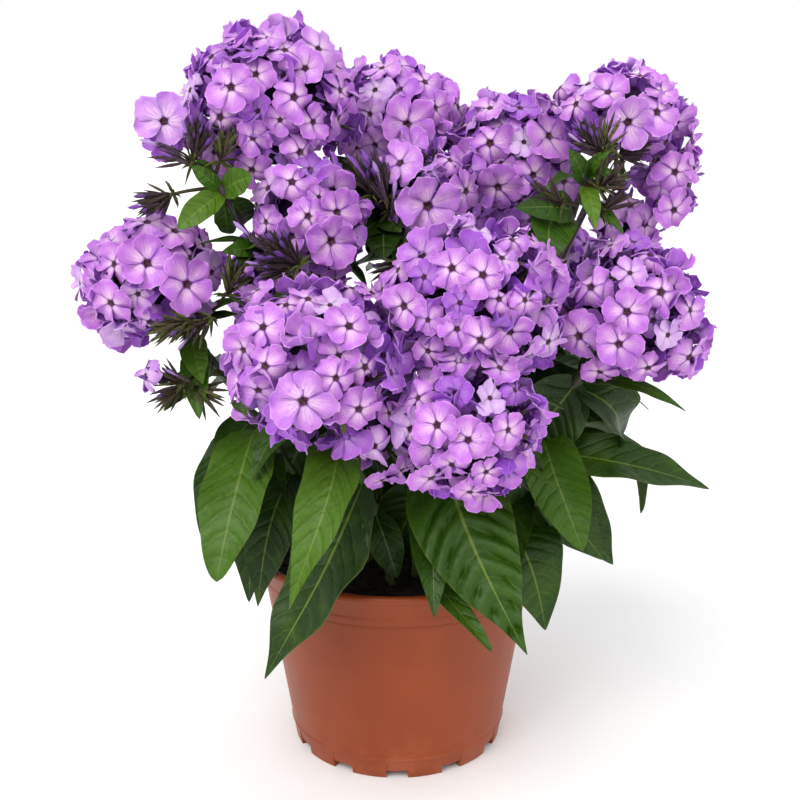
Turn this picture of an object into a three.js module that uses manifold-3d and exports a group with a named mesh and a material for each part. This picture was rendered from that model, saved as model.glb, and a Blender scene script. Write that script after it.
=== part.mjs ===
// A garden phlox (Phlox paniculata) in a round plastic nursery pot.
// Millimetres, +Z up. The origin is the middle of the pot's foot, and -Y is the plant's front.
import * as THREE from 'three';
import { mergeVertices } from 'three/addons/utils/BufferGeometryUtils.js';
import Module from 'manifold-3d';

const wasm = await Module();
wasm.setup();

// ---- Pot ---------------------------------------------------------------------------------------
const POT_HEIGHT = 107;
const RIM_RADIUS = 75;
const LIP_DROP = 3.5;        // depth of the rolled lip
const LIP_PROUD = 1.4;       // how far the lip stands out from the band
const LIP_BEVEL = 1;
const BAND_BOTTOM = 90;      // height of the crease under the band
const BAND_TAPER = 2.6;      // how much narrower the band is at the crease than at the lip
const CREASE_STEP = 1.3;     // how far the body is set in below the crease
const FOOT_RADIUS = 55.4;
const FOOT_LINE = 11;        // height of the fine line above the foot
const FOOT_HEIGHT = 4.6;     // the floor's underside stands this high
const FOOT_WIDTH = 3;
const WALL = 1.8;
const POT_SIDES = 24;
const NOTCHES = 12;
const NOTCH_WIDTH = 11;
const NOTCH_HEIGHT = 4;
const DRAIN_HOLES = 6;
const DRAIN_RADIUS = 4.5;
const DRAIN_CIRCLE = 38;
const DRAIN_SIDES = 6;

// ---- Soil --------------------------------------------------------------------------------------
const SOIL_TOP = 97;
const SOIL_LUMP = 2.2;       // height of the soil's unevenness
const SOIL_WAVES = [48, 57]; // lengths of its hollows along X and Y
const SOIL_RINGS = [0.85, 0.45]; // rings of points on the soil, as shares of its radius
const SOIL_SIDES = POT_SIDES / 2;
const STEM_FOOT = 86;        // the stems' lower ends stand this high, inside the soil

// ---- Plant -------------------------------------------------------------------------------------
const GAP = 0.3;             // clearance between neighbouring pieces
const LEAST_GAP = 0.2;
const STEM_RADIUS = 2.2;
const STEM_SIDES = 5;
const STEM_STEPS = 7;
const STEM_EASE = 0.3;       // how far a stem keeps its way at both ends, as a share of its length
const SHOOT_RADIUS = 1.4;
const SHOOT_SIDES = 4;
const SHOOT_STEPS = 4;
const TWIG_RADIUS = 1.1;
const LEAF_THICKNESS = 0.9;
const FLORET_RADII = [13, 21]; // least and greatest, larger than life
const FLORET_SIZES = [1, 0.75, 0.6]; // a floret that finds no room is tried again smaller
const FLORET_SHARE = 0.56;   // a floret's radius, as a share of its lobe's
const CORE_SHARES = [0.78, 0.7, 0.62, 0.54]; // a head's core, as a share of the head's radius
const CORE_ROOM = 0.95;      // leaves and buds keep out of this share of a head
const FIRST_HEAD_SEED = 100;
const BUD_LENGTH = 13;
const BUD_RADIUS = 1.7;
const BUDS_PER_SPRAY = 5;
const GOLDEN_ANGLE = Math.PI * (3 - Math.sqrt(5));

// Shapes of leaves
const LARGE_LEAF = 55;       // leaves longer than this have more rows of points
const LARGE_LEAF_ROWS = [[0, 0], [0.14, 0.5], [0.32, 0.95], [0.52, 1], [0.74, 0.7]];
const SMALL_LEAF_ROWS = [[0, 0], [0.22, 0.75], [0.5, 1], [0.78, 0.6]];
const PETIOLE_HALF = 1.3;    // half the width of a leaf where it leaves its stem
const BLADE_RISE = 0.16;     // how far the edges rise from the midrib, as a share of the half width
const EDGE_WAVE = 0.1;
const LEAF_TURNS = [0, 5, -5, 10, -10, 16, -16, 24, -24];
const LEAF_RAISES = [0, 5, -5, 10, 15, 20];

// Shapes of florets and heads
const PETALS = 5;
const CLEFT_SHARE = 0.55;    // how far out petals part, as a share of the floret's radius
const CLEFT_DROP = 1.6;
const SHOULDER_ANGLE = 17;
const HIGH_SHOULDER_DROP = 1.4;
const LOW_SHOULDER_DROP = 2.6;
const BACK_SHARE = 0.94;     // how far out the underside reaches, as a share of the radius
const BACK_DROP = 3.3;
const TUBE_RADIUS = 1.8;
const TUBE_DROP = 4.5;
const TUBE_ANGLES = [72, 216, 324];
const TUBE_SHARE = 0.42;     // a floret's tube length, as a share of the head's radius
const FLORET_ROOM = 0.92;    // how much of a square each floret takes up
const LOBE_OVERLAP = 0.85;   // florets are left out this deep inside a neighbouring lobe
const SKIRT_ANGLE = 125;     // florets cover a head down to this angle from its top
// How far florets are sunk below their seats in turn, until one crosses no neighbour
const FLORET_SINKS = [0, 1, -1, 2, -2, 0, 3, -1, 1, 4, 0, 2, -2, 5, 7];
const TILT = 0.25;
const STEM_REACH = 0.45;     // a stem ends this share of the radius below its head's centre

// Bud sprays
const TWIG_SIDES = 3;
const TWIG_LIFTS = [0, 3, -3, 6, -6, 9, -9];
const BUD_SPREAD = 1.1;      // how widely the outer buds fan out
const BUD_RANGE = 6;         // buds leave the twig over this length

const SLIVER = 0.02;         // facets thinner than this are merged away

// Each flower head: where its stem leaves the soil, or the stem and height that it branches from,
// the way that the head faces, and its lobes, each with a centre and radii along X, Y and Z.
const HEADS = {
  a: {
    foot: [-20, 12],
    faces: [-0.25, 0.02, 0.97],
    lobes: [[[-63, 15, 327], [46, 44, 47]], [[-113, 8, 314], [14, 15, 14]]],
  },
  b: { foot: [0, 22], faces: [0, 0.1, 1], lobes: [[[1, 55, 322], [34, 33, 34]]] },
  c: { foot: [17, 20], faces: [0.1, 0.15, 0.98], lobes: [[[58, 50, 298], [41, 38, 41]]] },
  d: {
    foot: [31, 6],
    faces: [0.35, 0, 0.94],
    lobes: [
      [[114, 20, 325], [37, 34, 25]],
      [[138, 16, 292], [17, 22, 27]],
      [[115, 22, 271], [20, 20, 16]],
    ],
  },
  e: { foot: [-33, -14], faces: [-0.5, -0.15, 0.85], lobes: [[[-119, -10, 246], [38, 35, 35]]] },
  f: { foot: [-14, -2], faces: [-0.15, -0.35, 0.92], lobes: [[[-44, -12, 274], [29, 27, 33]]] },
  g: {
    foot: [-3, -32],
    faces: [-0.2, -0.55, 0.8],
    lobes: [[[-35, -75, 218], [45, 40, 41]], [[-11, -80, 190], [16, 18, 22]]],
  },
  h: { foot: [9, -20], faces: [0.1, -0.4, 0.9], lobes: [[[35, -64, 243], [44, 38, 41]]] },
  i: { branch: ['h', 172], faces: [0.1, -0.75, 0.65], lobes: [[[32, -85, 193], [37, 32, 36]]] },
  j: {
    foot: [38, -10],
    faces: [0.45, -0.25, 0.86],
    lobes: [[[109, -30, 235], [41, 37, 37]], [[140, -32, 214], [14, 15, 15]]],
  },
  k: { foot: [-24, 32], faces: [-0.3, 0.6, 0.74], lobes: [[[-62, 76, 234], [37, 36, 36]]] },
  l: { foot: [6, 40], faces: [0.1, 0.65, 0.75], lobes: [[[24, 84, 222], [38, 35, 36]]] },
  m: { foot: [32, 28], faces: [0.45, 0.5, 0.74], lobes: [[[86, 74, 228], [38, 36, 36]]] },
  n: { branch: ['h', 196], faces: [-0.1, 0.1, 0.98], lobes: [[[15, 14, 287], [28, 27, 28]]] },
};

// Side shoots: the stem they grow from, the height where they leave it, a point on the way, the tip.
const SHOOTS = {
  p: { stem: 'a', height: 225, via: [-63, -10, 262], tip: [-83, -21, 300] },
  q: { stem: 'd', height: 195, via: [75, -8, 250], tip: [91, -24, 304] },
  r: { stem: 'b', height: 236, via: [-8, 26, 262], tip: [-13, 12, 286] },
};

// Leaves: the stem or shoot, the height of the node on it, the leaf's tip, its greatest width, how
// far the midrib arches up as a share of the length, and the roll about the midrib in degrees.
const LEAVES = [
  // Front, left of the middle
  ['g', 154, [-61, -92, 75], 39, 0.08, 0],
  ['g', 183, [-42, -112, 118], 27, 0.2, 0],
  ['e', 174, [-84, -76, 116], 34, 0.14, 0],
  ['e', 176, [-95, -32, 112], 24, 0.14, 0],
  ['e', 148, [-69, -46, 90], 25, 0.14, 0],
  ['e', 212, [-94, -45, 186], 13, 0.15, 0],
  ['e', 205, [-112, -38, 188], 11, 0.12, 0],
  // Front, right of the middle
  ['h', 168, [59, -98, 90], 46, 0.14, 0],
  ['h', 140, [17, -93, 106], 21, 0.18, 0],
  ['h', 118, [43, -97, 91], 16, 0.26, 0],
  ['i', 176, [73, -78, 162], 10, 0.12, 20],
  ['j', 172, [88, -62, 126], 29, 0.14, 0],
  ['j', 170, [128, 0, 122], 24, 0.3, 0],
  ['j', 160, [157, -22, 143], 26, 0.12, 45],
  ['j', 166, [110, -24, 103], 31, 0.12, 0],
  ['j', 128, [73, -52, 80], 38, 0.2, 0],
  ['j', 199, [137, -45, 190], 9, 0.12, 20],
  ['j', 196, [110, -2, 158], 34, 0.28, 0],
  ['d', 190, [66, -16, 140], 30, 0.1, 0],
  // Small leaves on the side shoots
  ['p', 290, [-100, -42, 277], 17, 0.15, 0],
  ['p', 288, [-74, -40, 274], 13, 0.15, 0],
  ['p', 294, [-64, -26, 303], 12, 0.1, 0],
  ['p', 262, [-84, -22, 262], 12, 0.15, 0],
  ['q', 280, [69, -52, 263], 22, 0.15, 0],
  ['q', 278, [55, -28, 284], 15, 0.15, 0],
  ['q', 291, [91, -46, 276], 13, 0.15, 0],
  ['q', 284, [110, -32, 274], 13, 0.15, 0],
  ['r', 268, [-8, -22, 258], 19, 0.15, 0],
  ['r', 272, [-18, 4, 262], 15, 0.15, 0],
];

// Stems whose other leaves follow the plain rule: pairs, each turned a quarter from the one below.
// The first pair's height and bearing (degrees), and the number of pairs.
const LEAF_PAIRS = {
  a: { height: 150, bearing: 150, pairs: 2 },
  d: { height: 150, bearing: 75, pairs: 2 },
  k: { height: 122, bearing: 165, pairs: 3 },
  l: { height: 118, bearing: 128, pairs: 3 },
  m: { height: 120, bearing: 10, pairs: 3 },
};
const PAIR_SPACING = 36;
const MOST_PAIRS = 3;
const LOW_LEAF_LENGTH = 92;
const TOP_LEAF_LENGTH = 62;
const LEAF_ASPECT = 0.33;    // width as a share of the length
const LEAF_DROOP = 0.42;     // how far a leaf's tip hangs below its node, as a share of its length
const INWARD_LIMIT = -0.5;   // leaves that point further inward than this are left out

// Bud sprays: the stem or shoot, the height where the twig leaves it, and the end of the twig.
const SPRAYS = [
  ['p', 296, [-92, -22, 307]],
  ['p', 289, [-110, -22, 286]],
  ['r', 282, [-16, 8, 294]],
  ['f', 224, [-59, -40, 262]],
  ['e', 214, [-78, -32, 236]],
  ['e', 200, [-88, -34, 190]],
  ['e', 212, [-120, -36, 204]],
  ['q', 300, [91, -25, 313]],
  ['q', 286, [68, -30, 291]],
];

// ---- Vectors and random numbers ------------------------------------------------------------------
const UP = new THREE.Vector3(0, 0, 1);

function vector(point) {
  return new THREE.Vector3(...point);
}

// The point at an angle (degrees) and distance round the Z axis, at a height.
function around(angle, distance, height) {
  const turn = THREE.MathUtils.degToRad(angle);
  return new THREE.Vector3(distance * Math.cos(turn), distance * Math.sin(turn), height);
}

// A seeded generator of numbers between 0 and 1 (mulberry32).
function randomSource(seed) {
  let state = seed;
  return () => {
    state = (state + 0x6d2b79f5) | 0;
    let mixed = Math.imul(state ^ (state >>> 15), 1 | state);
    mixed = (mixed + Math.imul(mixed ^ (mixed >>> 7), 61 | mixed)) ^ mixed;
    return ((mixed ^ (mixed >>> 14)) >>> 0) / 4294967296;
  };
}

// ---- Solids --------------------------------------------------------------------------------------

// A closed three.js geometry as a solid that can be joined and cut.
function solid(geometry) {
  const bare = geometry.clone();
  bare.deleteAttribute('normal');
  bare.deleteAttribute('uv');
  const merged = mergeVertices(bare, 1e-4);
  const corners = merged.index.array;
  const triangles = [];
  for (let i = 0; i < corners.length; i += 3) {
    const [a, b, c] = [corners[i], corners[i + 1], corners[i + 2]];
    if (a !== b && b !== c && c !== a) triangles.push(a, b, c);
  }
  return new wasm.Manifold(new wasm.Mesh({
    numProp: 3,
    vertProperties: new Float32Array(merged.attributes.position.array),
    triVerts: new Uint32Array(triangles),
  }));
}

// A solid from a list of points and a list of triangles.
function facets(points, triangles) {
  return new wasm.Manifold(new wasm.Mesh({
    numProp: 3,
    vertProperties: new Float32Array(points.flatMap((point) => point.toArray())),
    triVerts: new Uint32Array(triangles.flat()),
  }));
}

// Joins solids, and keeps the one body that they make, without slivers, scraps and sealed pockets.
function fuse(solids) {
  const joined = wasm.Manifold.union(solids).simplify(SLIVER);
  const bodies = joined.decompose();
  return bodies.reduce((a, b) => (a.volume() > b.volume() ? a : b));
}

// Whether a solid keeps its clearance from every other one.
function isClear(candidate, others) {
  return others.every((other) => candidate.minGap(other, GAP) > LEAST_GAP);
}

// A tube along a curve.
function tube(curve, radius, sides, steps) {
  const section = new THREE.Shape();
  for (let i = 0; i < sides; i += 1) {
    const angle = (2 * Math.PI * i) / sides;
    section[i === 0 ? 'moveTo' : 'lineTo'](radius * Math.cos(angle), radius * Math.sin(angle));
  }
  section.closePath();
  return solid(new THREE.ExtrudeGeometry(section, {
    steps, extrudePath: curve, bevelEnabled: false, curveSegments: 1,
  }));
}

// The point of a rising curve at a given height.
function pointAtHeight(curve, height) {
  let low = 0;
  let high = 1;
  for (let i = 0; i < 30; i += 1) {
    const middle = (low + high) / 2;
    if (curve.getPoint(middle).z < height) low = middle;
    else high = middle;
  }
  return curve.getPoint(low);
}

// ---- Pot and soil ----------------------------------------------------------------------------------

// The radius of the pot's outside below the crease.
function bodyRadiusAt(height) {
  const creaseRadius = RIM_RADIUS - LIP_PROUD - BAND_TAPER - CREASE_STEP;
  return THREE.MathUtils.mapLinear(height, 0, BAND_BOTTOM, FOOT_RADIUS, creaseRadius);
}

// A tapered pot with a band and a lip round its top, feet between notches, and drain holes.
function makePot() {
  const bandRadius = RIM_RADIUS - LIP_PROUD;
  const profile = [
    [0, FOOT_HEIGHT],
    [FOOT_RADIUS - FOOT_WIDTH, FOOT_HEIGHT],
    [FOOT_RADIUS - FOOT_WIDTH, 0],
    [FOOT_RADIUS, 0],
    [bodyRadiusAt(FOOT_LINE), FOOT_LINE],
    [bodyRadiusAt(BAND_BOTTOM), BAND_BOTTOM],
    [bodyRadiusAt(BAND_BOTTOM) + CREASE_STEP, BAND_BOTTOM + LIP_BEVEL],
    [bandRadius, POT_HEIGHT - LIP_DROP - LIP_BEVEL],
    [RIM_RADIUS, POT_HEIGHT - LIP_DROP],
    [RIM_RADIUS, POT_HEIGHT - LIP_BEVEL],
    [RIM_RADIUS - LIP_BEVEL, POT_HEIGHT],
    [RIM_RADIUS - LIP_PROUD - WALL, POT_HEIGHT],
    [bodyRadiusAt(BAND_BOTTOM) - WALL, BAND_BOTTOM],
    [bodyRadiusAt(FOOT_HEIGHT) - WALL, FOOT_HEIGHT + WALL],
    [0, FOOT_HEIGHT + WALL],
  ].map(([radius, height]) => new THREE.Vector2(radius, height));
  const turned = new THREE.LatheGeometry(profile, POT_SIDES);
  turned.rotateX(Math.PI / 2);
  let pot = solid(turned);
  const notch = new THREE.BoxGeometry(NOTCH_WIDTH, 4 * FOOT_WIDTH, 2 * NOTCH_HEIGHT);
  notch.translate(0, -FOOT_RADIUS, 0);
  for (let i = 0; i < NOTCHES; i += 1) {
    pot = pot.subtract(solid(notch));
    notch.rotateZ((2 * Math.PI) / NOTCHES);
  }
  const drain = new THREE.CylinderGeometry(DRAIN_RADIUS, DRAIN_RADIUS, 6 * WALL, DRAIN_SIDES);
  drain.rotateX(Math.PI / 2);
  drain.translate(0, -DRAIN_CIRCLE, FOOT_HEIGHT);
  for (let i = 0; i < DRAIN_HOLES; i += 1) {
    pot = pot.subtract(solid(drain));
    drain.rotateZ((2 * Math.PI) / DRAIN_HOLES);
  }
  return pot;
}

// Soil up to a little below the rim, with low hollows in its top and plain holes for the stems.
function makeSoil(stemHoles) {
  const floor = FOOT_HEIGHT + WALL + GAP;
  const lowRadius = bodyRadiusAt(FOOT_HEIGHT) - WALL - GAP;
  const topRadius = THREE.MathUtils.mapLinear(SOIL_TOP, floor, BAND_BOTTOM, lowRadius,
    bodyRadiusAt(BAND_BOTTOM) - WALL - GAP);
  const profile = [
    [0, floor],
    [lowRadius, floor],
    [topRadius, SOIL_TOP],
    ...SOIL_RINGS.map((share) => [share * topRadius, SOIL_TOP]),
    [0, SOIL_TOP],
  ].map(([radius, height]) => new THREE.Vector2(radius, height));
  const turned = new THREE.LatheGeometry(profile, SOIL_SIDES);
  turned.rotateX(Math.PI / 2);
  const points = turned.attributes.position;
  for (let i = 0; i < points.count; i += 1) {
    const [x, y] = [points.getX(i), points.getY(i)];
    if (points.getZ(i) < SOIL_TOP || Math.hypot(x, y) > SOIL_RINGS[0] * topRadius + GAP) continue;
    const [waveX, waveY] = [(2 * Math.PI * x) / SOIL_WAVES[0], (2 * Math.PI * y) / SOIL_WAVES[1]];
    points.setZ(i, SOIL_TOP + SOIL_LUMP * Math.sin(waveX + 1) * Math.cos(waveY));
  }
  return stemHoles.reduce((soil, hole) => soil.subtract(hole), solid(turned));
}

// ---- Stems -----------------------------------------------------------------------------------------

// Stems and shoots by name: the centre line, the radius, the node that it belongs to, and the sides
// and steps of its tube.
const hosts = {};

function addHost(name, node, curve, radius, sides, steps) {
  hosts[name] = { node, curve, radius, sides, steps };
}

function hostTube({ curve, radius, sides, steps }) {
  return tube(curve, radius, sides, steps);
}

// The space that a stem or shoot needs in what it stands in or carries.
function hostSocket({ curve, radius, sides, steps }) {
  const [start, end] = [curve.getPoint(0), curve.getPoint(1)];
  const path = new THREE.CurvePath();
  path.add(new THREE.LineCurve3(start.clone().addScaledVector(curve.getTangent(0), -GAP), start));
  path.add(curve);
  path.add(new THREE.LineCurve3(end, end.clone().addScaledVector(curve.getTangent(1), GAP)));
  return tube(path, radius + GAP / Math.cos(Math.PI / sides), sides, steps);
}

// A stem rises from the soil, or a branch leans out from its stem, and turns to face as its head does.
function addStem(name) {
  const { foot, branch, faces, lobes: [[centre, radii]] } = HEADS[name];
  const facing = vector(faces).normalize();
  const end = vector(centre).addScaledVector(facing, -STEM_REACH * Math.min(...radii));
  const start = branch ? pointAtHeight(hosts[branch[0]].curve, branch[1]) : vector([...foot, STEM_FOOT]);
  const reach = STEM_EASE * start.distanceTo(end);
  const first = start.clone().addScaledVector(UP, reach);
  const second = end.clone().addScaledVector(facing, -reach);
  const curve = new THREE.CubicBezierCurve3(start, first, second, end);
  addHost(name, branch ? branch[0] : name, curve, STEM_RADIUS, STEM_SIDES, STEM_STEPS);
}

function addShoot(name) {
  const { stem, height, via, tip } = SHOOTS[name];
  const start = pointAtHeight(hosts[stem].curve, height);
  const curve = new THREE.CatmullRomCurve3([start, vector(via), vector(tip)]);
  addHost(name, stem, curve, SHOOT_RADIUS, SHOOT_SIDES, SHOOT_STEPS);
}

// ---- Leaves ----------------------------------------------------------------------------------------

// A pointed blade from its node to its tip: it arches along the midrib, its halves rise from the
// midrib, and its edges wave. Both faces have the same triangles.
function leafSolid(node, tip, width, bow, rollDegrees) {
  const chord = tip.clone().sub(node);
  const length = chord.length();
  const along = chord.clone().normalize();
  const roll = THREE.MathUtils.degToRad(rollDegrees);
  const face = UP.clone().addScaledVector(along, -UP.dot(along)).normalize();
  face.applyAxisAngle(along, roll);
  const side = along.clone().cross(face);
  const middle = node.clone().addScaledVector(chord, 0.45).addScaledVector(face, 2 * bow * length);
  const midrib = new THREE.QuadraticBezierCurve3(node, middle, tip);
  const rows = length > LARGE_LEAF ? LARGE_LEAF_ROWS : SMALL_LEAF_ROWS;
  const top = [];
  const bottom = [];
  rows.forEach(([share, fullness], row) => {
    const point = midrib.getPoint(share);
    const normal = side.clone().cross(midrib.getTangent(share)).normalize();
    const half = Math.max((width / 2) * fullness, PETIOLE_HALF);
    const wave = row % 2 === 0 ? EDGE_WAVE : -EDGE_WAVE;
    for (const hand of [-1, 0, 1]) {
      const rise = hand === 0 ? 0 : half * (BLADE_RISE + hand * wave);
      const corner = point.clone().addScaledVector(side, hand * half).addScaledVector(normal, rise);
      top.push(corner);
      bottom.push(corner.clone().addScaledVector(normal, -LEAF_THICKNESS));
    }
  });
  const end = midrib.getPoint(1);
  top.push(end);
  bottom.push(end.clone().addScaledVector(face, -LEAF_THICKNESS));
  return facets([...top, ...bottom], bladeTriangles(rows.length, top.length));
}

// The triangles of a blade with three points to a row and one at the tip, over its own underside.
function bladeTriangles(rowCount, under) {
  const triangles = [];
  const both = (a, b, c) => {
    triangles.push([a, b, c], [under + a, under + c, under + b]);
  };
  const wall = (a, b) => {
    triangles.push([a, under + a, b], [b, under + a, under + b]);
  };
  for (let row = 0; row < rowCount - 1; row += 1) {
    const here = 3 * row;
    const next = here + 3;
    both(here, here + 1, next);
    both(here + 1, next + 1, next);
    both(here + 1, here + 2, next + 2);
    both(here + 1, next + 2, next + 1);
    wall(next, here);
    wall(here + 2, next + 2);
  }
  const last = 3 * (rowCount - 1);
  const tip = 3 * rowCount;
  both(last, last + 1, tip);
  both(last + 1, last + 2, tip);
  wall(tip, last);
  wall(last + 2, tip);
  wall(0, 1);
  wall(1, 2);
  return triangles;
}

// The leaf, turned and raised about its node in small steps until it is clear of other pieces.
function bentClear(node, tip, width, bow, roll, others) {
  for (const raise of LEAF_RAISES) {
    for (const turn of LEAF_TURNS) {
      const chord = tip.clone().sub(node);
      chord.applyAxisAngle(UP, THREE.MathUtils.degToRad(turn));
      const across = chord.clone().cross(UP).normalize();
      chord.applyAxisAngle(across, THREE.MathUtils.degToRad(raise));
      const leaf = leafSolid(node, node.clone().add(chord), width, bow, roll);
      if (isClear(leaf, others)) return leaf;
    }
  }
  return null;
}

// ---- Flower heads ------------------------------------------------------------------------------------

// One floret, facing +Z: five petals in a pinwheel, each with one shoulder over its neighbour. Its
// underside is a smaller pentagon, which narrows to a three-sided tube of the given depth.
function floretParts(floretRadius, depth) {
  const top = [];
  const back = [];
  for (let petal = 0; petal < PETALS; petal += 1) {
    const middle = (360 / PETALS) * petal;
    top.push(around(middle - 180 / PETALS, CLEFT_SHARE * floretRadius, -CLEFT_DROP));
    top.push(around(middle - SHOULDER_ANGLE, floretRadius, -HIGH_SHOULDER_DROP));
    top.push(around(middle + SHOULDER_ANGLE, floretRadius, -LOW_SHOULDER_DROP));
    back.push(around(middle, BACK_SHARE * floretRadius, -BACK_DROP));
  }
  const tubeTop = TUBE_ANGLES.map((angle) => around(angle, TUBE_RADIUS, -TUBE_DROP));
  const tubeEnd = tubeTop.map((point) => point.clone().setZ(point.z - depth));
  const points = [around(0, 0, 0), ...top, ...back, ...tubeTop, ...tubeEnd];
  const [low, neck, root] = [16, 21, 24];
  const triangles = [[root, root + 2, root + 1]];
  for (let petal = 0; petal < PETALS; petal += 1) {
    const next = (petal + 1) % PETALS;
    const rim = [1 + 3 * petal, 2 + 3 * petal, 3 + 3 * petal, 1 + 3 * next];
    for (let i = 0; i < 3; i += 1) {
      triangles.push([0, rim[i], rim[i + 1]], [rim[i], low + petal, rim[i + 1]]);
    }
    triangles.push([rim[3], low + petal, low + next]);
    triangles.push([neck + Math.floor(0.6 * petal), low + next, low + petal]);
  }
  [2, 4, 0].forEach((corner, i) => {
    const j = (i + 1) % 3;
    triangles.push([neck + i, neck + j, low + corner]);
    triangles.push([neck + i, root + i, neck + j], [neck + j, root + i, root + j]);
  });
  return { points, triangles };
}

// The directions of florets spread evenly over a head, from its top to its skirt, with room for
// each one's radius.
function floretDirections(facing, seat, floretRadius) {
  const turnToFacing = new THREE.Quaternion().setFromUnitVectors(UP, facing);
  const lowest = Math.cos(THREE.MathUtils.degToRad(SKIRT_ANGLE));
  const room = 2 * Math.atan(floretRadius / seat);
  const count = Math.round((2 * Math.PI * (1 - lowest)) / (FLORET_ROOM * room * room));
  return Array.from({ length: count }, (_, i) => {
    const height = 1 - ((i + 0.5) / count) * (1 - lowest);
    const spread = Math.sqrt(1 - height * height);
    const turn = THREE.MathUtils.radToDeg(i * GOLDEN_ANGLE);
    return around(turn, spread, height).applyQuaternion(turnToFacing);
  });
}

// The faceted cores of a head's lobes, scaled by a share, with a branch from the first to each other.
function coreSolid({ lobes }, share) {
  const trunk = vector(lobes[0][0]);
  const cores = lobes.map(([centre, radii]) => {
    const core = new THREE.IcosahedronGeometry(share, 0);
    core.scale(...radii);
    core.translate(...centre);
    return solid(core);
  });
  const branches = lobes.slice(1).map(([centre]) => {
    return tube(new THREE.LineCurve3(trunk, vector(centre)), SHOOT_RADIUS, SHOOT_SIDES, 1);
  });
  return fuse([...cores, ...branches]);
}

// How far a point lies from the middle of a lobe, where 1 is the lobe's surface.
function depthIn([centre, radii], point) {
  return point.clone().sub(vector(centre)).divide(vector(radii)).length();
}

// One floret seated on a lobe: on its surface in a direction, facing out with a slight tilt.
function seatFloret([centre, radii], direction, shape, sink, random) {
  const normal = direction.clone().divide(vector(radii)).normalize();
  normal.add(new THREE.Vector3(random() - 0.5, random() - 0.5, 0).multiplyScalar(TILT)).normalize();
  const pose = new THREE.Quaternion().setFromUnitVectors(UP, normal);
  pose.multiply(new THREE.Quaternion().setFromAxisAngle(UP, random() * 2 * Math.PI));
  const seat = direction.clone().multiply(vector(radii)).add(vector(centre));
  seat.addScaledVector(normal, -sink);
  const placed = shape.points.map((point) => point.clone().applyQuaternion(pose).add(seat));
  return facets(placed, shape.triangles);
}

// A dense dome of florets on the largest core that is clear of other pieces, with room for its stem and
// for stems that pass through. A floret is turned and sunk until it crosses none of its neighbours, and
// left out if it would touch another piece.
function makeHead(name, sockets, others, random) {
  const head = HEADS[name];
  const facing = vector(head.faces).normalize();
  const cores = CORE_SHARES.map((share) => coreSolid(head, share).subtract(sockets));
  const core = cores.find((body) => isClear(body, others));
  const florets = [];
  for (const lobe of head.lobes) {
    const radius = Math.min(...lobe[1]);
    const floretRadius = THREE.MathUtils.clamp(FLORET_SHARE * radius, ...FLORET_RADII);
    const sag = radius - Math.sqrt(radius ** 2 - floretRadius ** 2);
    const shapes = FLORET_SIZES.map((size) => floretParts(size * floretRadius, TUBE_SHARE * radius));
    const otherLobes = head.lobes.filter((other) => other !== lobe);
    for (const direction of floretDirections(facing, radius - sag, floretRadius)) {
      const seat = direction.clone().multiply(vector(lobe[1])).add(vector(lobe[0]));
      if (otherLobes.some((other) => depthIn(other, seat) < LOBE_OVERLAP)) continue;
      const tries = shapes.flatMap((shape) => FLORET_SINKS.map((sink) => {
        return seatFloret(lobe, direction, shape, sag + sink, random);
      }));
      const free = tries.filter((floret) => isClear(floret, others));
      const apart = free.find((floret) => florets.every((other) => floret.minGap(other, GAP) > 0));
      if (free.length) florets.push(apart || free[0]);
    }
  }
  return fuse([fuse([core, ...florets]).subtract(hostSocket(hosts[name]))]);
}

// ---- Bud sprays --------------------------------------------------------------------------------------

// A closed bud or calyx: a three-sided spindle along a direction.
function budSolid(root, direction, length) {
  const pose = new THREE.Quaternion().setFromUnitVectors(UP, direction);
  const ring = [0, 120, 240].map((angle) => around(angle, BUD_RADIUS, 0.6 * length));
  const points = [around(0, 0, 0), ...ring, around(0, 0, length)];
  const triangles = [[0, 2, 1], [0, 3, 2], [0, 1, 3], [4, 1, 2], [4, 2, 3], [4, 3, 1]];
  return facets(points.map((point) => point.applyQuaternion(pose).add(root)), triangles);
}

// A twig with buds that fan out round its end. The twig leaves its stem as near the given height as it
// can without crossing a leaf, and buds that would touch another piece are left out.
function makeSpray(host, height, end, others, random) {
  const socket = hostSocket(host);
  const twigs = TWIG_LIFTS.map((lift) => {
    const start = pointAtHeight(host.curve, height + lift);
    return tube(new THREE.LineCurve3(start, end), TWIG_RADIUS, TWIG_SIDES, 1).subtract(socket);
  });
  const pieces = [twigs.find((twig) => isClear(twig, others))];
  const axis = end.clone().sub(pointAtHeight(host.curve, height)).normalize();
  const pose = new THREE.Quaternion().setFromUnitVectors(UP, axis);
  for (let i = 0; i < BUDS_PER_SPRAY; i += 1) {
    const share = i / (BUDS_PER_SPRAY - 1);
    const turn = THREE.MathUtils.radToDeg(i * GOLDEN_ANGLE);
    const direction = around(turn, BUD_SPREAD * Math.sqrt(share), 1).normalize().applyQuaternion(pose);
    const root = end.clone().addScaledVector(axis, -1 - BUD_RANGE * share);
    const bud = budSolid(root, direction, BUD_LENGTH * (0.8 + 0.3 * random()));
    if (isClear(bud, others)) pieces.push(bud);
  }
  return fuse(pieces);
}

// ---- Assembly ------------------------------------------------------------------------------------------
const phlox = new THREE.Group();

const materials = {
  terracotta: { color: 0x9c5236, roughness: 0.45, metalness: 0 },
  peat: { color: 0x17130f, roughness: 0.95, metalness: 0 },
  leafGreen: { color: 0x2f5a1e, roughness: 0.5, metalness: 0 },
  lilac: { color: 0xa56fd6, roughness: 0.6, metalness: 0 },
  budPurple: { color: 0x3b2338, roughness: 0.6, metalness: 0 },
};

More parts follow.
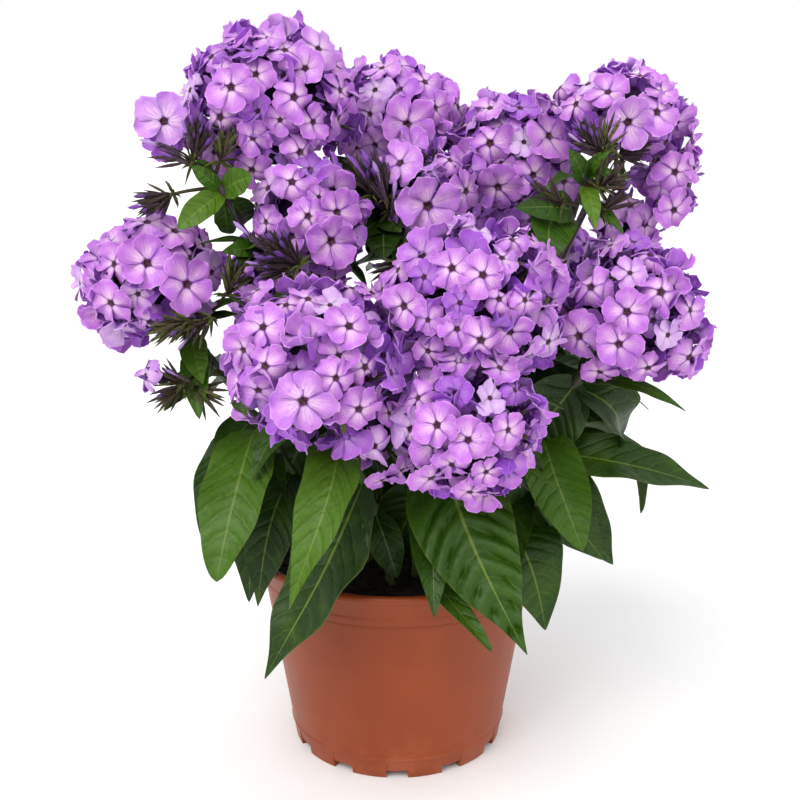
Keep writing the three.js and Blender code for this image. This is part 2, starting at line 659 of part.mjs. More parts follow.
// A named mesh in its own colour, with its geometry about its own place.
function place(name, body, [x, y, z], finish) {
  const { vertProperties, triVerts } = body.getMesh();
  const geometry = new THREE.BufferGeometry();
  geometry.setAttribute('position', new THREE.BufferAttribute(vertProperties, 3));
  geometry.setIndex(new THREE.BufferAttribute(triVerts, 1));
  geometry.translate(-x, -y, -z);
  geometry.computeVertexNormals();
  const mesh = new THREE.Mesh(geometry, new THREE.MeshStandardMaterial(finish));
  mesh.name = name;
  mesh.position.set(x, y, z);
  phlox.add(mesh);
}

const pot = makePot();
const headNames = Object.keys(HEADS);
const stemNames = headNames.filter((name) => HEADS[name].foot);
headNames.forEach(addStem);
Object.keys(SHOOTS).forEach(addShoot);

// What grows in one piece on each stem: its own tube, its branches and shoots, and then its leaves.
const growth = Object.fromEntries(stemNames.map((name) => [name, []]));
for (const host of Object.values(hosts)) growth[host.node].push(hostTube(host));

const soil = makeSoil(stemNames.map((name) => hostSocket(hosts[name])));
const headRooms = headNames.map((name) => coreSolid(HEADS[name], CORE_ROOM));

function addLeaf(host, height, tip, width, bow, roll) {
  const { node, curve } = hosts[host];
  const otherStems = stemNames.filter((name) => name !== node).flatMap((name) => growth[name]);
  const others = [pot, soil, ...headRooms, ...otherStems];
  const leaf = bentClear(pointAtHeight(curve, height), tip, width, bow, roll, others);
  if (leaf) growth[node].push(leaf);
}

for (const [host, height, tip, width, bow, roll] of LEAVES) {
  addLeaf(host, height, vector(tip), width, bow, roll);
}

// Pairs of leaves up a stem. A leaf that would point into the plant's middle is left out.
for (const [host, { height, bearing, pairs }] of Object.entries(LEAF_PAIRS)) {
  for (let pair = 0; pair < pairs; pair += 1) {
    const level = height + pair * PAIR_SPACING;
    const node = pointAtHeight(hosts[host].curve, level);
    const length = THREE.MathUtils.lerp(LOW_LEAF_LENGTH, TOP_LEAF_LENGTH, pair / MOST_PAIRS);
    const outward = new THREE.Vector3(node.x, node.y, 0).normalize();
    for (const side of [0, 180]) {
      const turn = THREE.MathUtils.degToRad(bearing + 90 * pair + side);
      const out = new THREE.Vector3(Math.cos(turn), Math.sin(turn), 0);
      const tip = node.clone().addScaledVector(out, length * Math.sqrt(1 - LEAF_DROOP ** 2));
      tip.z -= length * LEAF_DROOP;
      if (out.dot(outward) > INWARD_LIMIT) addLeaf(host, level, tip, length * LEAF_ASPECT, 0.18, 0);
    }
  }
}

const leafyStems = stemNames.map((name) => fuse(growth[name]));
const finished = [pot, soil, ...leafyStems];

const sprays = SPRAYS.map(([host, height, end], i) => {
  const others = [...finished, ...headRooms];
  const spray = makeSpray(hosts[host], height, vector(end), others, randomSource(i + 1));
  finished.push(spray);
  return spray;
});

// The front heads come first, so that those behind make room for them.
const sockets = wasm.Manifold.union(Object.values(hosts).map(hostSocket));
const heads = {};
const frontToBack = headNames.toSorted((a, b) => HEADS[a].lobes[0][0][1] - HEADS[b].lobes[0][0][1]);
frontToBack.forEach((name, i) => {
  heads[name] = makeHead(name, sockets, finished, randomSource(FIRST_HEAD_SEED + i));
  finished.push(heads[name]);
});

place('pot', pot, [0, 0, 0], materials.terracotta);
place('soil', soil, [0, 0, SOIL_TOP], materials.peat);
stemNames.forEach((name, i) => {
  place(`leafy_stem_${name}`, leafyStems[i], [...HEADS[name].foot, STEM_FOOT], materials.leafGreen);
});
headNames.forEach((name) => {
  place(`flower_head_${name}`, heads[name], HEADS[name].lobes[0][0], materials.lilac);
});
sprays.forEach((spray, i) => {
  place(`bud_spray_${i + 1}`, spray, SPRAYS[i][2], materials.budPurple);
});

export default phlox;
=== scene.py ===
import math

import bpy
import numpy as np
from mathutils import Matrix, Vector, kdtree


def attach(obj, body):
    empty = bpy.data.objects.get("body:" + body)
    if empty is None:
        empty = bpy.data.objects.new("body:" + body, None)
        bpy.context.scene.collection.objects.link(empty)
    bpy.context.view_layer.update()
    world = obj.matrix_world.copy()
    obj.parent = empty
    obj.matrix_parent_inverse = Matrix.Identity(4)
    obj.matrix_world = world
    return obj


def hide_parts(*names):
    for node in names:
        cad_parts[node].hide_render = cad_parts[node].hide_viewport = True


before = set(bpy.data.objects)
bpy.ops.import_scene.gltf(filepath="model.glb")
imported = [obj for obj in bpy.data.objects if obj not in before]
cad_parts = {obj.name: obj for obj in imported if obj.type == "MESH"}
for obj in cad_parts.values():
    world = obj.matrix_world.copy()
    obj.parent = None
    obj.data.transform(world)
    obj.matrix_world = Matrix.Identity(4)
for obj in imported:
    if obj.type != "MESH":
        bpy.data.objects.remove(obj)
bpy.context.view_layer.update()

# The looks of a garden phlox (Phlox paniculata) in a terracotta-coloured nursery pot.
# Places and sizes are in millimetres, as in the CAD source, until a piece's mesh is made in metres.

METRES = 0.001
UP = np.array([0.0, 0.0, 1.0])
GOLDEN_ANGLE = math.pi * (3 - math.sqrt(5))
FULL_TURN = 2 * math.pi
# The first seed of each kind of piece or template
SEEDS = {"soil": 11, "stems": 200, "heads": 300, "sprays": 400, "fine florets": 5, "plain florets": 6,
         "rough florets": 7, "calyces": 20, "short buds": 30, "long buds": 8}

# ---- The camera of the photograph ----------------------------------------------------------------
CAMERA_PLACE = np.array([1.38, -590.67, 339.25])
CAMERA_PITCH = math.radians(14.77)
SENSOR = 36.0
LENS = 53.66
PHOTO_SIZE = 800
FOCAL_PIXELS = LENS / SENSOR * PHOTO_SIZE
AHEAD = np.array([0, math.cos(CAMERA_PITCH), -math.sin(CAMERA_PITCH)])
RIGHT = np.array([1.0, 0, 0])
ABOVE = np.array([0, math.sin(CAMERA_PITCH), math.cos(CAMERA_PITCH)])

# ---- Pot and soil, as in the CAD source ----------------------------------------------------------
POT_HEIGHT = 107
RIM_RADIUS = 75
LIP_DROP = 3.5
LIP_PROUD = 1.4
BAND_BOTTOM = 90
BAND_TAPER = 2.6
CREASE_STEP = 1.3
FOOT_RADIUS = 55.4
FOOT_LINE = 11
FOOT_HEIGHT = 4.6
FOOT_WIDTH = 3
WALL = 1.8
NOTCHES = 12
NOTCH_WIDTH = 11
NOTCH_HEIGHT = 4
DRAIN_HOLES = 6
DRAIN_RADIUS = 4.5
DRAIN_CIRCLE = 38
SOIL_TOP = 97
SOIL_LUMP = 2.2
SOIL_WAVES = (48, 57)
GAP = 0.3
STEM_FOOT = 86

# Only in the scene
AXIS = 0.01                  # the radius at which the pot's profile starts and ends
CORNER_STEPS = 3
NOTCH_SIDE = 0.1             # half the width in degrees of a notch's steep side
SOIL_SIDES = 96
SOIL_GRAIN = 0.25
SOIL_EDGE_DROP = 0.6
CRUMBS = 450
CRUMB_SIZES = (0.8, 2.4)
CRUMB_MARGIN = 3             # crumbs keep this far from the soil's edge
FIBRES = 60
FIBRE_MARGIN = 6
FIBRE_REACHES = (3, 7)
FIBRE_RADIUS = 0.35

# ---- The plant's frame, as in the CAD source -----------------------------------------------------
STEM_REACH = 0.45
STEM_EASE = 0.3
SKIRT_ANGLE = 125
LEAF_TURNS = (0, 5, -5, 10, -10, 16, -16, 24, -24)
LEAF_RAISES = (0, 5, -5, 10, 15, 20)
FOUND = 0.1                  # a CAD corner within this distance counts as the one looked for

# Each head: where its stem leaves the soil, or the stem and height that it branches from, the way
# that it faces, and its lobes, each with a centre and radii.
HEADS = {
    "a": {"foot": (-20, 12), "faces": (-0.25, 0.02, 0.97),
          "lobes": [((-63, 15, 327), (46, 44, 47)), ((-113, 8, 314), (14, 15, 14))]},
    "b": {"foot": (0, 22), "faces": (0, 0.1, 1), "lobes": [((1, 55, 322), (34, 33, 34))]},
    "c": {"foot": (17, 20), "faces": (0.1, 0.15, 0.98), "lobes": [((58, 50, 298), (41, 38, 41))]},
    "d": {"foot": (31, 6), "faces": (0.35, 0, 0.94),
          "lobes": [((114, 20, 325), (37, 34, 25)), ((138, 16, 292), (17, 22, 27)),
                    ((115, 22, 271), (20, 20, 16))]},
    "e": {"foot": (-33, -14), "faces": (-0.5, -0.15, 0.85),
          "lobes": [((-119, -10, 246), (38, 35, 35))]},
    "f": {"foot": (-14, -2), "faces": (-0.15, -0.35, 0.92),
          "lobes": [((-44, -12, 274), (29, 27, 33))]},
    "g": {"foot": (-3, -32), "faces": (-0.2, -0.55, 0.8),
          "lobes": [((-35, -75, 218), (45, 40, 41)), ((-11, -80, 190), (16, 18, 22))]},
    "h": {"foot": (9, -20), "faces": (0.1, -0.4, 0.9), "lobes": [((35, -64, 243), (44, 38, 41))]},
    "i": {"branch": ("h", 172), "faces": (0.1, -0.75, 0.65),
          "lobes": [((32, -85, 193), (37, 32, 36))]},
    "j": {"foot": (38, -10), "faces": (0.45, -0.25, 0.86),
          "lobes": [((109, -30, 235), (41, 37, 37)), ((140, -32, 214), (14, 15, 15))]},
    "k": {"foot": (-24, 32), "faces": (-0.3, 0.6, 0.74), "lobes": [((-62, 76, 234), (37, 36, 36))]},
    "l": {"foot": (6, 40), "faces": (0.1, 0.65, 0.75), "lobes": [((24, 84, 222), (38, 35, 36))]},
    "m": {"foot": (32, 28), "faces": (0.45, 0.5, 0.74), "lobes": [((86, 74, 228), (38, 36, 36))]},
    "n": {"branch": ("h", 196), "faces": (-0.1, 0.1, 0.98),
          "lobes": [((15, 14, 287), (28, 27, 28))]},
}

# Side shoots: the stem, the height where they leave it, a point on the way, the tip.
SHOOTS = {
    "p": ("a", 225, (-73, -14, 271), (-86, -21, 299)),
    "q": ("d", 195, (75, -8, 250), (91, -24, 304)),
    "r": ("b", 236, (-8, 26, 262), (-9, 12, 280)),
}

STEM_RINGS = 40
STEM_SIDES = 10
STEM_WIDTHS = {"stem": (2.3, 1.7), "branch": (1.9, 1.5), "shoot": (1.5, 1.0)}
NODE_SWELL = 0.55            # how much wider its radius is where leaves grow
NODE_LENGTH = 2.6
PURPLE_HEIGHT = 190          # how far above its foot a stem is all purple

# ---- Leaves --------------------------------------------------------------------------------------
# Which way a leaf's face looks
UPWARD = (0, 0, 1)
HALFWAY = (0, -0.6, 0.8)
FORWARD = (0, -0.95, 0.3)

# Leaves: the stem or shoot, the node's height, the tip, the greatest width, the midrib's arch as a
# share of the length, which way the face looks, how light the leaf is and how blunt, from 0 to 1. Where
# a leaf bends sideways as the photograph shows, the last value says how far, as a share of its length.
LEAVES = [
    ("g", 154, (-61, -92, 75), 43, 0.08, UPWARD, 0.15, 0.2, -0.1),
    ("g", 183, (-42, -112, 118), 27, 0.2, UPWARD, 0.8, 0.15, -0.12),
    ("e", 174, (-84, -76, 116), 33, 0.14, UPWARD, 0.75, 0.85, -0.03),
    ("e", 176, (-95, -32, 112), 26, 0.14, HALFWAY, 0.3, 0.45),
    ("e", 148, (-69, -46, 90), 27, 0.23, FORWARD, 0.1, 0.2),
    ("e", 212, (-94, -45, 186), 15, 0.15, FORWARD, 0.6, 0.6),
    ("e", 205, (-112, -38, 188), 11, 0.12, FORWARD, 0.5, 0.4),
    ("h", 168, (59, -98, 90), 48, 0.14, FORWARD, 0.48, 0.0, 0.04),
    ("h", 140, (17, -93, 106), 22, 0.18, FORWARD, 0.3, 0.45),
    ("h", 118, (43, -97, 91), 14, 0.13, UPWARD, 0.55, 0.85, 0.15),
    ("i", 176, (73, -78, 162), 10, 0.12, HALFWAY, 0.7, 0.3),
    ("j", 172, (88, -62, 126), 29, 0.14, FORWARD, 0.72, 0.7),
    ("j", 170, (128, 0, 122), 26, 0.3, UPWARD, 0.2, 0.7),
    ("j", 160, (157, -22, 143), 26, 0.12, HALFWAY, 0.35, 0.3),
    ("j", 166, (110, -24, 103), 31, 0.12, FORWARD, 0.2, 0.3),
    ("j", 128, (73, -52, 80), 38, 0.29, HALFWAY, 0.3, 0.4),
    ("j", 199, (137, -45, 190), 9, 0.12, HALFWAY, 0.6, 0.3),
    ("j", 196, (110, -2, 158), 34, 0.28, HALFWAY, 0.15, 0.3),
    ("d", 190, (66, -16, 140), 30, 0.1, HALFWAY, 0.08, 0.3),
]

# Leaves behind those and small leaves of the shoots, which only the scene has: the stem or shoot, the
# node's height, the pixel and depth (y) of the tip, and then the same values.
MORE_LEAVES = [
    # The leaves at the back take the darkest tints: painted shade, as they lie deep behind the others.
    ("g", 138, (397, 578), -52, 17, 0.1, FORWARD, 0.03, 0.6),
    ("h", 186, (541, 505), -35, 36, 0.12, FORWARD, 0.12, 0.4),
    ("j", 200, (512, 455), -16, 34, 0.1, FORWARD, 0.1, 0.4),
    ("d", 205, (566, 458), 2, 34, 0.14, FORWARD, 0.1, 0.4),
    ("j", 150, (604, 560), -30, 28, 0.14, FORWARD, 0.15, 0.4),
    ("f", 172, (328, 557), -22, 38, 0.12, FORWARD, 0.08, 0.4),
    ("h", 154, (392, 556), -18, 32, 0.1, FORWARD, 0.06, 0.4),
    ("c", 176, (475, 557), -2, 38, 0.1, FORWARD, 0.08, 0.4),
    ("e", 176, (214, 473), -30, 20, 0.15, FORWARD, 0.3, 0.5),
    ("e", 160, (249, 602), -35, 24, 0.14, FORWARD, 0.08, 0.4),
    ("a", 190, (267, 526), -6, 34, 0.14, FORWARD, 0.1, 0.4),
    ("b", 196, (376, 556), 22, 44, 0.1, FORWARD, 0.05, 0.4),
    ("c", 200, (425, 540), 12, 38, 0.12, FORWARD, 0.05, 0.4),
    ("n", 214, (409, 500), 2, 34, 0.12, FORWARD, 0.05, 0.4),
    ("e", 184, (246, 421), -36, 10, 0.12, HALFWAY, 0.8, 0.5),
    ("e", 196, (170, 378), -34, 8, 0.12, HALFWAY, 0.6, 0.5),
    ("e", 218, (203, 384), -38, 14, 0.12, FORWARD, 0.75, 0.6),
    ("e", 220, (243, 298), -26, 8, 0.12, HALFWAY, 0.3, 0.5),
    ("e", 218, (238, 314), -24, 8, 0.12, HALFWAY, 0.2, 0.5),
    ("p", 292, (192, 166), -28, 8, 0.12, FORWARD, 0.7, 0.9),
    ("p", 291, (252, 176), -32, 14, 0.1, FORWARD, 0.75, 1.0),
    ("p", 290, (178, 229), -38, 13, 0.12, FORWARD, 0.85, 0.9),
    ("p", 289, (229, 234), -8, 11, 0.12, FORWARD, 0.4, 1.0),
    ("p", 288, (247, 222), -2, 14, 0.1, FORWARD, 0.35, 1.0),
    ("p", 299, (196, 160), -26, 4, 0.15, HALFWAY, 0.5, 0.6),
    ("p", 262, (222, 252), -36, 10, 0.12, FORWARD, 0.7, 0.6),
    ("p", 261, (258, 244), -36, 11, 0.12, FORWARD, 0.75, 0.6),
    ("p", 258, (226, 266), -36, 9, 0.12, FORWARD, 0.3, 0.6),
    ("p", 260, (199, 244), -34, 5, 0.15, HALFWAY, 0.3, 0.2),
    ("q", 278, (550, 257), -48, 24, 0.1, FORWARD, 0.5, 0.8, 0.2),
    ("q", 281, (516, 208), -40, 15, 0.2, FORWARD, 0.4, 0.7),
    ("q", 270, (527, 234), -30, 16, 0.15, FORWARD, 0.15, 0.6),
    ("q", 294, (596, 230), -44, 9, 0.15, FORWARD, 0.85, 0.5),
    ("q", 286, (624, 234), -34, 8, 0.15, HALFWAY, 0.6, 0.5),
    ("q", 296, (569, 149), -38, 10, 0.12, FORWARD, 0.4, 0.6),
    ("q", 300, (611, 150), -36, 6, 0.2, FORWARD, 0.7, 0.4),
    ("q", 298, (619, 172), -32, 5, 0.2, FORWARD, 0.6, 0.4),
    ("r", 276, (350, 160), 4, 20, 0.1, FORWARD, 0.03, 0.6),
    ("r", 270, (346, 192), 2, 20, 0.1, FORWARD, 0.05, 0.6),
    ("r", 266, (404, 262), -2, 22, 0.1, FORWARD, 0.04, 0.6),
    ("n", 240, (394, 236), -4, 22, 0.1, FORWARD, 0.04, 0.6),
    ("d", 202, (616, 440), 6, 36, 0.1, FORWARD, 0.1, 0.5),
    ("c", 214, (580, 392), 14, 34, 0.1, FORWARD, 0.08, 0.5),
    ("r", 270, (384, 259), -18, 22, 0.12, FORWARD, 0.05, 0.7),
    ("r", 272, (360, 236), -8, 16, 0.15, FORWARD, 0.1, 0.7),
    ("r", 274, (401, 232), -10, 14, 0.15, FORWARD, 0.08, 0.7),
    ("r", 274, (330, 156), 6, 24, 0.1, FORWARD, 0.03, 0.6),
    ("q", 270, (543, 218), -6, 22, 0.1, FORWARD, 0.05, 0.6),
]

# Small leaves stand in pairs on each stem: from the first height only at the back, from the second
# all round it, up to a little below its end, and clear of the heads.
BACK_START = 128
BACKWARD = 0.25              # how much a leaf has to point to the back to be one of the back
UPPER_START = 186
UPPER_SPACING = 31
UPPER_END = 14
UPPER_LENGTHS = (50, 30)     # at UPPER_START and UPPER_RANGE above it
UPPER_RANGE = 130
UPPER_RISES = (-0.35, 0.45)
UPPER_ASPECT = 0.32
UPPER_BOW = 0.16
HEAD_ROOM = 1.02             # they keep out of this share of each lobe

# Pairs of leaves up a stem: the first pair's height and bearing in degrees, and the number of pairs.
LEAF_PAIRS = {
    "a": (150, 150, 2),
    "d": (150, 75, 2),
    "k": (122, 165, 3),
    "l": (118, 128, 3),
    "m": (120, 10, 3),
}
PAIR_SPACING = 36
MOST_PAIRS = 3
LOW_LEAF_LENGTH = 92
TOP_LEAF_LENGTH = 62
LEAF_ASPECT = 0.33
LEAF_DROOP = 0.42
PAIR_BOW = 0.18

LARGE_LEAF = 48              # leaves longer than this are large
VEIN_PAIRS = 9               # side veins of a large leaf
LARGE_MESH = (VEIN_PAIRS, 9)                 # pairs of side veins, and points across the leaf
SMALL_MESH = (5, 7)
VEIN_SLANT = 0.34            # how far forward they run, as a share of the leaf's length
MIDRIB_WIDTH = 0.05
BELLY = 0.45                 # where along a leaf its midrib's arch is highest
STALK_WIDTH = 0.9            # half the width at the leaf's foot
EDGE_RISES = (0.1, 0.4)      # how far its halves rise from the midrib, as a share of their width
EDGE_WAVES = (2.2, 3.4)      # how many waves an edge has
WAVE_HEIGHT = 0.12
SWAY = 0.04                  # how far at most a leaf bends sideways where no row says it
# Depth of the hollows along the side veins, as a share of the width: of small leaves, the greatest of
# large leaves, and of those wider than BROAD_LEAF
QUILTS = (0.006, 0.024, 0.08)
BROAD_LEAF = 45
GROOVE = 0.012               # depth of the groove along the midrib, as a share of the width
LEAF_THICKNESS = 0.35

# ---- Bud sprays ----------------------------------------------------------------------------------
# Bud sprays as the photograph shows them: the number of the piece, the stem or shoot and the height
# where the twig leaves it, the pixels of the buds' foot and of their far end, the depth (y), the
# number of buds, how far they spread in radians and how purple they are from 0 to 1.
SPRAYS = [
    (1, "p", 299, (193, 164), (199, 124), -24, 40, 0.5, 0.85),
    (1, "p", 298, (193, 161), (168, 158), -26, 6, 0.4, 1.0),
    (1, "p", 298, (220, 162), (225, 140), -22, 18, 0.7, 0.05),
    (2, "p", 292, (173, 193), (148, 204), -26, 26, 0.6, 0.6),
    (3, "r", 279, (390, 212), (358, 166), -2, 50, 0.6, 0.95),
    (3, "r", 278, (372, 196), (348, 154), -6, 30, 0.5, 0.45),
    (3, "r", 272, (388, 198), (374, 156), -8, 18, 0.4, 0.8),
    (3, "r", 266, (398, 262), (386, 274), -16, 12, 0.6, 0.8),
    (4, "f", 226, (300, 266), (262, 236), -44, 54, 0.6, 0.8),
    (4, "f", 226, (290, 272), (268, 268), -44, 14, 0.6, 0.9),
    (5, "e", 219, (228, 296), (236, 268), -34, 26, 0.6, 0.3),
    (5, "e", 218, (212, 318), (186, 330), -38, 26, 0.7, 0.45),
    (5, "e", 218, (190, 322), (152, 334), -44, 38, 0.62, 0.2),
    (6, "e", 200, (194, 386), (209, 400), -36, 18, 0.7, 0.3),
    (7, "e", 204, (184, 384), (162, 378), -42, 14, 0.6, 0.6),
    (7, "e", 204, (184, 386), (166, 398), -40, 12, 0.5, 0.4),
    (8, "q", 301, (602, 154), (584, 134), -30, 34, 0.62, 0.9),
    (8, "q", 300, (606, 150), (606, 134), -28, 12, 0.6, 0.05),
    (8, "q", 300, (616, 158), (638, 148), -8, 20, 0.6, 0.9),
    (8, "q", 294, (598, 188), (614, 178), -30, 26, 0.8, 0.5),
    (9, "q", 284, (562, 204), (540, 195), -34, 14, 0.7, 0.5),
    (9, "q", 286, (602, 212), (614, 203), -32, 10, 0.5, 0.5),
]
SPRAY_PIECES = 9
SPRAY_DEPTH = 0.5            # the outer buds' feet lie this share of the spray's length below the inner
BUD_LENGTHS = (8, 14)
BUD_STALKS = (1.5, 4.5)
FURLED_SHARE = 0.35          # of the most purple spray's buds that show a corolla
BRACTS = 7
BRACT_LENGTHS = (5, 11)
BRACT_RADII = (0.4, 0.75, 0.7, 0.4, 0.05)
TWIG_RADII = (1.1, 0.6)
BUD_STALK_RADIUS = 0.45
LONE_STALK_RADII = (0.6, 0.5)
STALK_EASE = 0.4             # a curved stalk is bent this share of its length below its end

# Long buds that stand alone: the spray's number, the pixels of foot and tip, and the depth (y).
LONE_BUDS = [
    (1, (188, 164), (158, 151), -27), (1, (176, 150), (141, 140), -27), (1, (196, 150), (181, 118), -22),
    (2, (160, 204), (126, 208), -28), (3, (384, 200), (344, 152), -8), (3, (388, 206), (360, 146), -6),
    (3, (386, 202), (372, 158), -12), (3, (392, 216), (396, 176), -10), (4, (264, 248), (234, 222), -47),
    (4, (272, 266), (246, 262), -46), (5, (196, 328), (178, 350), -44), (7, (190, 382), (164, 369), -43),
    (8, (592, 152), (569, 134), -32), (8, (594, 156), (572, 146), -33), (8, (598, 146), (582, 126), -30),
    (8, (606, 186), (624, 192), -30), (9, (556, 200), (532, 204), -35),
]

# Florets that hang from a spray: its number, the eye's pixel, the depth, the radius in pixels, how far
# it leans to the right and up, and its tint.
LONE_FLORETS = [
    (7, (145, 376), -44, 24, -0.8, 0.15, 0.25),
]

# ---- Florets -------------------------------------------------------------------------------------
FLORET_RADIUS = 12.4
# DEEP is partly painted shade: florets deep in a head get it, as well as those of a deeper violet.
DEEP, PLAIN, PALE = 0.9, 0.5, 0.12
